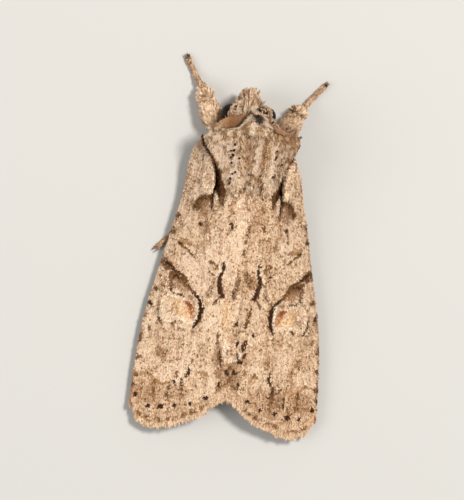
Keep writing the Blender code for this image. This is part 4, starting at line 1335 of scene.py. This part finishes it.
def body_lie(node, places, normals):
    """The lie of the coat at these places of a flesh node."""
    x, y, z = places.T
    side = np.sign(x)
    if node.startswith("tegula"):
        share = np.clip((np.abs(x) - 0.8) / (CAPE_HALF(y) - 0.8), 0, 1)
        sway = noise(places, (0.3, 0.5, 9), 92) - 0.5
        return vectors(-0.3 * share * side + 1.1 * sway, -1.0, 0.0)
    if node in ("thorax", "neck"):
        return vectors(cape_sway(places), -1.0, -0.2 * np.abs(x))
    if node == "collar":
        ahead = y > COLLAR_RIM(x) + 0.04
        return vectors(0.08 * x, np.where(ahead, 1.0, -1.0), np.where(ahead, -0.8, 0.0))
    if node == "head":
        crown = eased((z - 2.6) / 0.7)
        lie = vectors(0.12 * (x - HEAD_ASIDE), 1.0, 0.15 * crown - 0.3 * (1 - crown))
        lie = gathered(places, lie, LOCK, 0.5)
        return lie - normals * np.minimum(np.sum(lie * normals, -1, keepdims=True), 0)
    if node in PALPS:
        return vectors(0.1 * side, 1.0, 0.8)
    if node == "abdomen":
        return vectors(-0.1 * x, -1.0, 0.0)
    if node in FEELERS:
        if node.startswith("antenna_base"):
            return vectors(0.5 * side, -0.8, -0.3)
        return vectors(0.25 * side, -1.0, -0.2)
    start, end = limb_ends(node)
    return np.tile(end - start, (len(places), 1))


LOCK = 0.24  # width of the head's locks


def gathered(places, lie, size, pull):
    """Draws the tips of neighbouring tufts together, so that they form pointed locks."""
    cell = np.floor(places / size)
    centre = (cell + 0.3 + 0.4 * np.stack([hashed(cell, seed) for seed in (201, 202, 203)], -1)) * size
    return unit(lie) + pull * (centre - places) / size


def spot_of(places, normals, tile, tiles):
    """A place on the unwrapped skin: round the limb across its tile, and along it."""
    turn = np.arctan2(normals[:, 2], normals[:, 0]) / (2 * math.pi) + 0.5
    low, high = places.min(0), places.max(0)
    axis = int(np.argmax(high - low))
    along = (places[:, axis] - low[axis]) / (high[axis] - low[axis])
    return vectors((tile + 0.02 + 0.96 * turn) / tiles, along)


TIP_SHARE = 0.65  # how far along its length a tuft's visible tip starts
CAPE_WIDTH = 2.15  # the collar's own hairs reach this far out


def body_tufts(nodes, gap, skin, reach, rng):
    """Tufts over these nodes, rooted on the skin beneath and coloured by where their tips reach."""
    groups = []
    for tile, node in enumerate(nodes):
        places, normals = samples(node, gap, rng)
        found = [skin.find_nearest(Vector(place)) for place in places]
        near = np.array([hit[3] < coat_depth(node) + BURIED for hit in found])
        roots = np.array([hit[0] for hit in found])[near]
        ups = np.array([hit[1] for hit in found])[near]
        places, normals = places[near], normals[near]
        facing = np.sum(ups * normals, -1) > 0.2
        roots, ups, places, normals = roots[facing], ups[facing], places[facing], normals[facing]
        lie = body_lie(node, roots, ups)
        if node == "head":  # its locks stand out forwards, so they do not bend down to the skin
            lie = unit(lie)
            ups = unit(ups - 0.97 * lie * np.sum(lie * ups, -1, keepdims=True))
        along = unit(lie - ups * np.sum(lie * ups, -1, keepdims=True))
        colour, tips = body_dye(node, roots + along * reach)
        spot = spot_of(places, normals, tile, len(nodes))
        groups.append(Tufts(roots, ups, lie, colour, spot, tips))
    return joined(groups)


def make_coat(skin):
    """The coat of body, limbs and feelers, one piece for each stretch of it."""
    rng = np.random.default_rng(5)

    def coat(name, nodes, gap, cover, where=None):
        tufts = body_tufts(nodes, gap, skin, TIP_SHARE * cover.length, rng)
        if where is not None:
            tufts = tufts.keep(where(tufts.roots))
        coat_piece(name, tufts, cover, len(name))

    low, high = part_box("thorax")
    middle = 0.5 * (low.z + high.z) / MM

    def back(roots):
        return roots[:, 2] > middle

    def breast(roots):
        return roots[:, 2] <= middle

    def hollow(roots):
        return (roots[:, 1] > COLLAR_RIM(roots[:, 0]) + 0.04) & (np.abs(roots[:, 0]) < CAPE_WIDTH)

    def cape(roots):
        return ~hollow(roots) & (np.abs(roots[:, 0]) < CAPE_WIDTH)

    coat("coat_thorax", ["thorax"], 0.044, Cover(HAIR, 0.23, 0.052, 0.015, 0.09, 0.02, 24), back)
    coat("coat_breast", ["thorax"], 0.08, Cover(HAIR, 0.34, 0.1, 0.02, 0.09, 0.02, 18), breast)
    for word in SIDES:
        cover = Cover(HAIR, 0.23, 0.052, 0.015, 0.08, 0.02, 24)
        coat(f"coat_tegula_{word}", [f"tegula_{word}"], 0.044, cover)
    coat("coat_cape", ["collar"], 0.042, Cover(HAIR, 0.3, 0.052, 0.015, 0.09, 0.02, 20), cape)
    coat("coat_collar", ["collar"], 0.045, Cover(SCALE, 0.13, 0.06, 0.01, 0.025, 0.0, 10), hollow)
    coat("coat_head", ["head"], 0.055, Cover(HAIR, 0.42, 0.085, 0.022, 0.06, 0.03, 9))
    coat("coat_palps", PALPS, 0.07, Cover(SCALE, 0.24, 0.07, 0.012, 0.08, 0.02, 12))
    coat("coat_abdomen", ["abdomen"], 0.11, Cover(SCALE, 0.3, 0.14, 0.012, 0.05, 0.0, 8))
    coat("coat_feelers", FEELERS, 0.06, Cover(SCALE, 0.12, 0.06, 0.01, 0.02, 0.0, 6))
    for leg in LEGS:
        lengths = [node for node in LIMBS if node.startswith(leg) and not node.endswith("tarsus")]
        feet = [node for node in LIMBS if node.startswith(leg) and node.endswith("tarsus")]
        gap = 0.075 if leg == "foreleg" else 0.09
        coat(f"coat_{leg}s", lengths, gap, Cover(SCALE, 0.32, 0.13, 0.014, 0.09, 0.01, 14))
        coat(f"coat_{leg}_feet", feet, 0.07, Cover(SCALE, 0.18, 0.095, 0.012, 0.05, 0.0, 9))


def height_at(skin, x, y):
    """The skin's height over the floor here, or 0 where there is none."""
    hit = skin.ray_cast(Vector((x, y, 9)), Vector((0, 0, -1)))[0]
    return hit.z if hit else 0.0


def height_over(skin, x, y):
    """The skin's height under each place, or under its highest neighbour close by."""
    steps = ((0, 0), (-0.12, 0), (0.12, 0), (0, 0.12))
    return np.array([
        max(height_at(skin, x_here + x_step, y_here + y_step) for x_step, y_step in steps)
        for x_here, y_here in zip(x, y)
    ])


# Where the trunk's plates meet, and how wide a strip of hairs lies over each meeting.
SEAMS = (
    (((-0.7, 6.8), (-0.7, 3.5)), 0.44), (((0.7, 6.8), (0.7, 3.5)), 0.44), (((-2.0, 6.95), (2.0, 6.95)), 0.34),
)
SEAM_GAP = 0.045  # between hairs
SPECK_SCALES = 14  # in each black speck


def make_seam_hairs(skin):
    """Hairs over the seams of thorax, shoulder plates and collar, and black specks over the thorax."""
    rng = np.random.default_rng(9)
    xs, ys = [], []
    for (start, end), width in SEAMS:
        start, end = np.array(start), np.array(end)
        size = np.linalg.norm(end - start)
        along = (end - start) / size
        count = int(size * width / SEAM_GAP**2)
        places = start + rng.uniform(0, 1, (count, 1)) * size * along
        places = places + rng.uniform(-0.5, 0.5, (count, 1)) * width * np.array((along[1], -along[0]))
        xs.append(places[:, 0])
        ys.append(places[:, 1])
    x, y = np.concatenate(xs), np.concatenate(ys)
    chosen = y < COLLAR_RIM(x) - 0.04
    hairs = Cover(HAIR, 0.24, 0.052, 0.015, 0.06, 0.0, 16)
    lay_over(skin, "seam_hairs", hairs, x[chosen], y[chosen], 0.06)
    specks = np.repeat(np.array(SPECKS), SPECK_SCALES, axis=0)
    x, y = (specks[:, axis] + rng.uniform(-0.34, 0.34, len(specks)) * specks[:, 2] for axis in (0, 1))
    scales = Cover(SCALE, 0.1, 0.07, 0.015, 0.06, 0.0, 16)
    lay_over(skin, "black_specks", scales, x, y + 0.04, 0.12, DARK * 0.7)


def lay_over(skin, name, cover, x, y, above, dye=None):
    """Tufts this far above the skin, pointing back, of one dye or in the trunk's own colours."""
    places = vectors(x, y, height_over(skin, x, y) + above)
    lie = vectors(cape_sway(places), -1.0, -0.02)
    ahead = places + unit(lie) * TIP_SHARE * cover.length
    colour = trunk_dye(ahead) if dye is None else np.tile(dye, (len(x), 1))
    up = unit(vectors(0.2 * x, 0.0, 1.0))
    coat_piece(name, Tufts(places, up, lie, colour, vectors(x, y)), cover, len(name))


TAIL_FRONT = Profile((0.0, 3.35), (0.6, 3.45), (1.3, 3.0))
TAIL_HALF, TAIL_BACK = 1.3, 1.9


def make_wing_bases(skin):
    """Scales that carry the wings' coat inwards over the thorax's tail, so that no gap shows between them."""
    rng = np.random.default_rng(7)
    gap = 0.05
    columns, rows = np.arange(-TAIL_HALF, TAIL_HALF, gap), np.arange(TAIL_BACK, 3.5, gap)
    x, y = (grid.ravel() for grid in np.meshgrid(columns, rows))
    x, y = x + rng.uniform(-0.5, 0.5, len(x)) * gap, y + rng.uniform(-0.5, 0.5, len(x)) * gap
    inside = y < TAIL_FRONT(np.abs(x))
    x, y = x[inside], y[inside]
    height, colour = np.empty(len(x)), np.empty((len(x), 3))
    for side, chosen in ((LEFT, x < 0.1), (RIGHT, x >= 0.1)):
        out = x[chosen] * side
        height[chosen] = forewing_top(out, y[chosen], side)
        colour[chosen] = forewing_dye(out, y[chosen] - SCALE_REACH, side)
    height = np.maximum(height, [height_at(skin, *place) for place in zip(x, y)])
    up = unit(vectors(0.3 * x, 0.0, 1.0))
    lie = np.tile((0.0, -1.0, 0.0), (len(x), 1))
    tufts = Tufts(vectors(x, y, height + 0.03), up, lie, colour, vectors(x, y))
    coat_piece("wing_base_scales", tufts, Cover(WING_SCALE, 0.2, 0.1, 0.012, 0.05, 0.0, 18), 8)


# ---------------------------------------------------------------- eyes and claws


def eye_finish():
    """Near black, with fine facets."""
    material, tree, shader = new_material("eye", 0.4, 0.12)
    facets = add_texture(tree, "TexVoronoi", Scale=32000)
    shade = add_node(tree, "MapRange", To_Min=1.4, To_Max=0.5)
    tree.links.new(facets.outputs["Distance"], shade.inputs["Value"])
    tinted(tree, shader, shade.outputs["Result"]).default_value = (0.009, 0.006, 0.005, 1)
    roughened(tree, shader, facets.outputs["Distance"], Distance=0.000015).invert = True
    return material


def make_eyes():
    """Each eye is a smooth globe of the solid's size."""
    material = eye_finish()
    for word in SIDES:
        low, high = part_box(f"eye_{word}")
        bm = bmesh.new()
        bmesh.ops.create_icosphere(bm, subdivisions=5, radius=1)
        bmesh.ops.scale(bm, vec=(high - low) / 2, verts=bm.verts[:])
        bmesh.ops.translate(bm, vec=(high + low) / 2, verts=bm.verts[:])
        mesh = new_mesh(f"eye_{word}_globe", bm)
        mesh.shade_smooth()
        piece = add_piece(f"eye_{word}_globe", mesh, material)
        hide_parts(f"eye_{word}")


def horn_finish():
    """Dark reddish brown horn."""
    material, tree, shader = new_material("horn", 0.35)
    grain = add_texture(tree, "TexNoise", Scale=9000)
    tint = add_node(tree, "ValToRGB")
    tint.color_ramp.elements[0].color = (0.05, 0.02, 0.01, 1)
    tint.color_ramp.elements[1].color = (0.16, 0.07, 0.035, 1)
    tree.links.new(grain.outputs["Fac"], tint.inputs["Fac"])
    tree.links.new(tint.outputs["Color"], shader.inputs["Base Color"])
    return material


CLAW_LENGTH, CLAW_BASE, CLAW_TIP = 0.3, 0.035, 0.005  # of the cone that each claw is bent from, and its radii


def make_claws():
    """Two small hooked claws at the end of every foot."""
    bm = bmesh.new()
    for node in (name for name in LIMBS if name.endswith("tarsus")):
        start, end = limb_ends(node)
        along = unit(end - start)
        side = unit(np.cross(along, (0, 0, 1)))
        for splay in (-1, 1):
            cone = bmesh.ops.create_cone(
                bm, cap_ends=True, segments=8, radius1=CLAW_BASE, radius2=CLAW_TIP, depth=CLAW_LENGTH
            )
            edges = {edge for vert in cone["verts"] for edge in vert.link_edges}
            bmesh.ops.subdivide_edges(bm, edges=[edge for edge in edges if edge.calc_length() > 0.2], cuts=3)
            for vert in (vert for vert in bm.verts if not vert.tag):
                x, y, z = vert.co
                reach = 0.6 * (z + CLAW_LENGTH / 2)
                place = end + along * (0.17 + 0.85 * reach) + side * (x + splay * (0.07 + 0.35 * reach))
                place[2] += y + 0.02 - 1.1 * reach * reach
                vert.co = place
                vert.tag = True
    places = np.array([vert.co for vert in bm.verts])
    places[:, 2] = np.maximum(places[:, 2], FLOOR_GAP)
    for vert, place in zip(bm.verts, to_world(places)):
        vert.co = place
    bmesh.ops.recalc_face_normals(bm, faces=bm.faces[:])
    mesh = new_mesh("claws", bm)
    mesh.shade_smooth()
    add_piece("claws", mesh, horn_finish())


# ---------------------------------------------------------------- floor, light and camera

VIEW_HEIGHT = 30.0  # millimetres of the moth's plane that the view's long side takes in
LOOK_AT = (-0.579, -0.056, 2.6)
CAMERA_LEAN = math.radians(5.7)  # towards the moth's left
CAMERA_ROLL = math.radians(5.5)
CAMERA_FAR = 200.0
SENSOR = 36.0


def make_camera():
    """A long lens, high over the moth's back, leaning and rolled a little."""
    data = bpy.data.cameras.new("camera")
    data.sensor_width = SENSOR
    data.lens = SENSOR * CAMERA_FAR / VIEW_HEIGHT
    data.clip_start = 0.01
    camera = new_object("camera", data)
    lean, roll = CAMERA_LEAN, CAMERA_ROLL
    across = Vector((math.cos(lean), 0, math.sin(lean)))
    forward = Vector((0, 1, 0))
    right = across * math.cos(roll) + forward * math.sin(roll)
    up = forward * math.cos(roll) - across * math.sin(roll)
    away = right.cross(up)
    look_at = Vector(to_world(np.array(LOOK_AT)))
    turned = Matrix((right, up, away)).transposed().to_4x4()
    camera.matrix_world = Matrix.Translation(look_at + away * CAMERA_FAR * MM) @ turned
    bpy.context.scene.camera = camera


def add_light(name, place, size, power, colour):
    """A soft round lamp, aimed at the moth."""
    data = bpy.data.lights.new(name, "AREA")
    data.shape = "DISK"
    data.size = size
    data.energy = power
    data.color = colour
    light = new_object(name, data)
    light.location = place
    light.rotation_euler = (Vector((0, 0, 0.002)) - Vector(place)).to_track_quat("-Z", "Y").to_euler()


def make_stage():
    """A plain pale floor under two soft lamps and an even sky."""
    bm = bmesh.new()
    bmesh.ops.create_grid(bm, x_segments=1, y_segments=1, size=0.6)
    mesh = new_mesh("floor", bm)
    paper, _, shader = new_material("floor_paper", 0.9)
    shader.inputs["Base Color"].default_value = (0.62, 0.61, 0.58, 1)
    mesh.materials.append(paper)
    floor = new_object("floor", mesh)
    add_light("key", (0.09, 0.08, 0.26), 0.06, 0.68, (1.0, 0.97, 0.93))
    add_light("fill", (-0.22, -0.03, 0.2), 0.22, 0.33, (1.0, 0.98, 0.96))
    world = bpy.data.worlds.new("world")
    world.use_nodes = True
    sky = world.node_tree.nodes["Background"]
    sky.inputs["Color"].default_value = (1, 1, 1, 1)
    sky.inputs["Strength"].default_value = 0.35
    bpy.context.scene.world = world
    bpy.context.scene.view_settings.view_transform = "Standard"


make_stage()
make_camera()
for word, side in SIDES.items():
    make_forewing(word, side)
    make_hindwing(word, side)
body_skin = make_skin()
make_coat(body_skin)
make_seam_hairs(body_skin)
make_wing_bases(body_skin)
make_eyes()
make_claws()
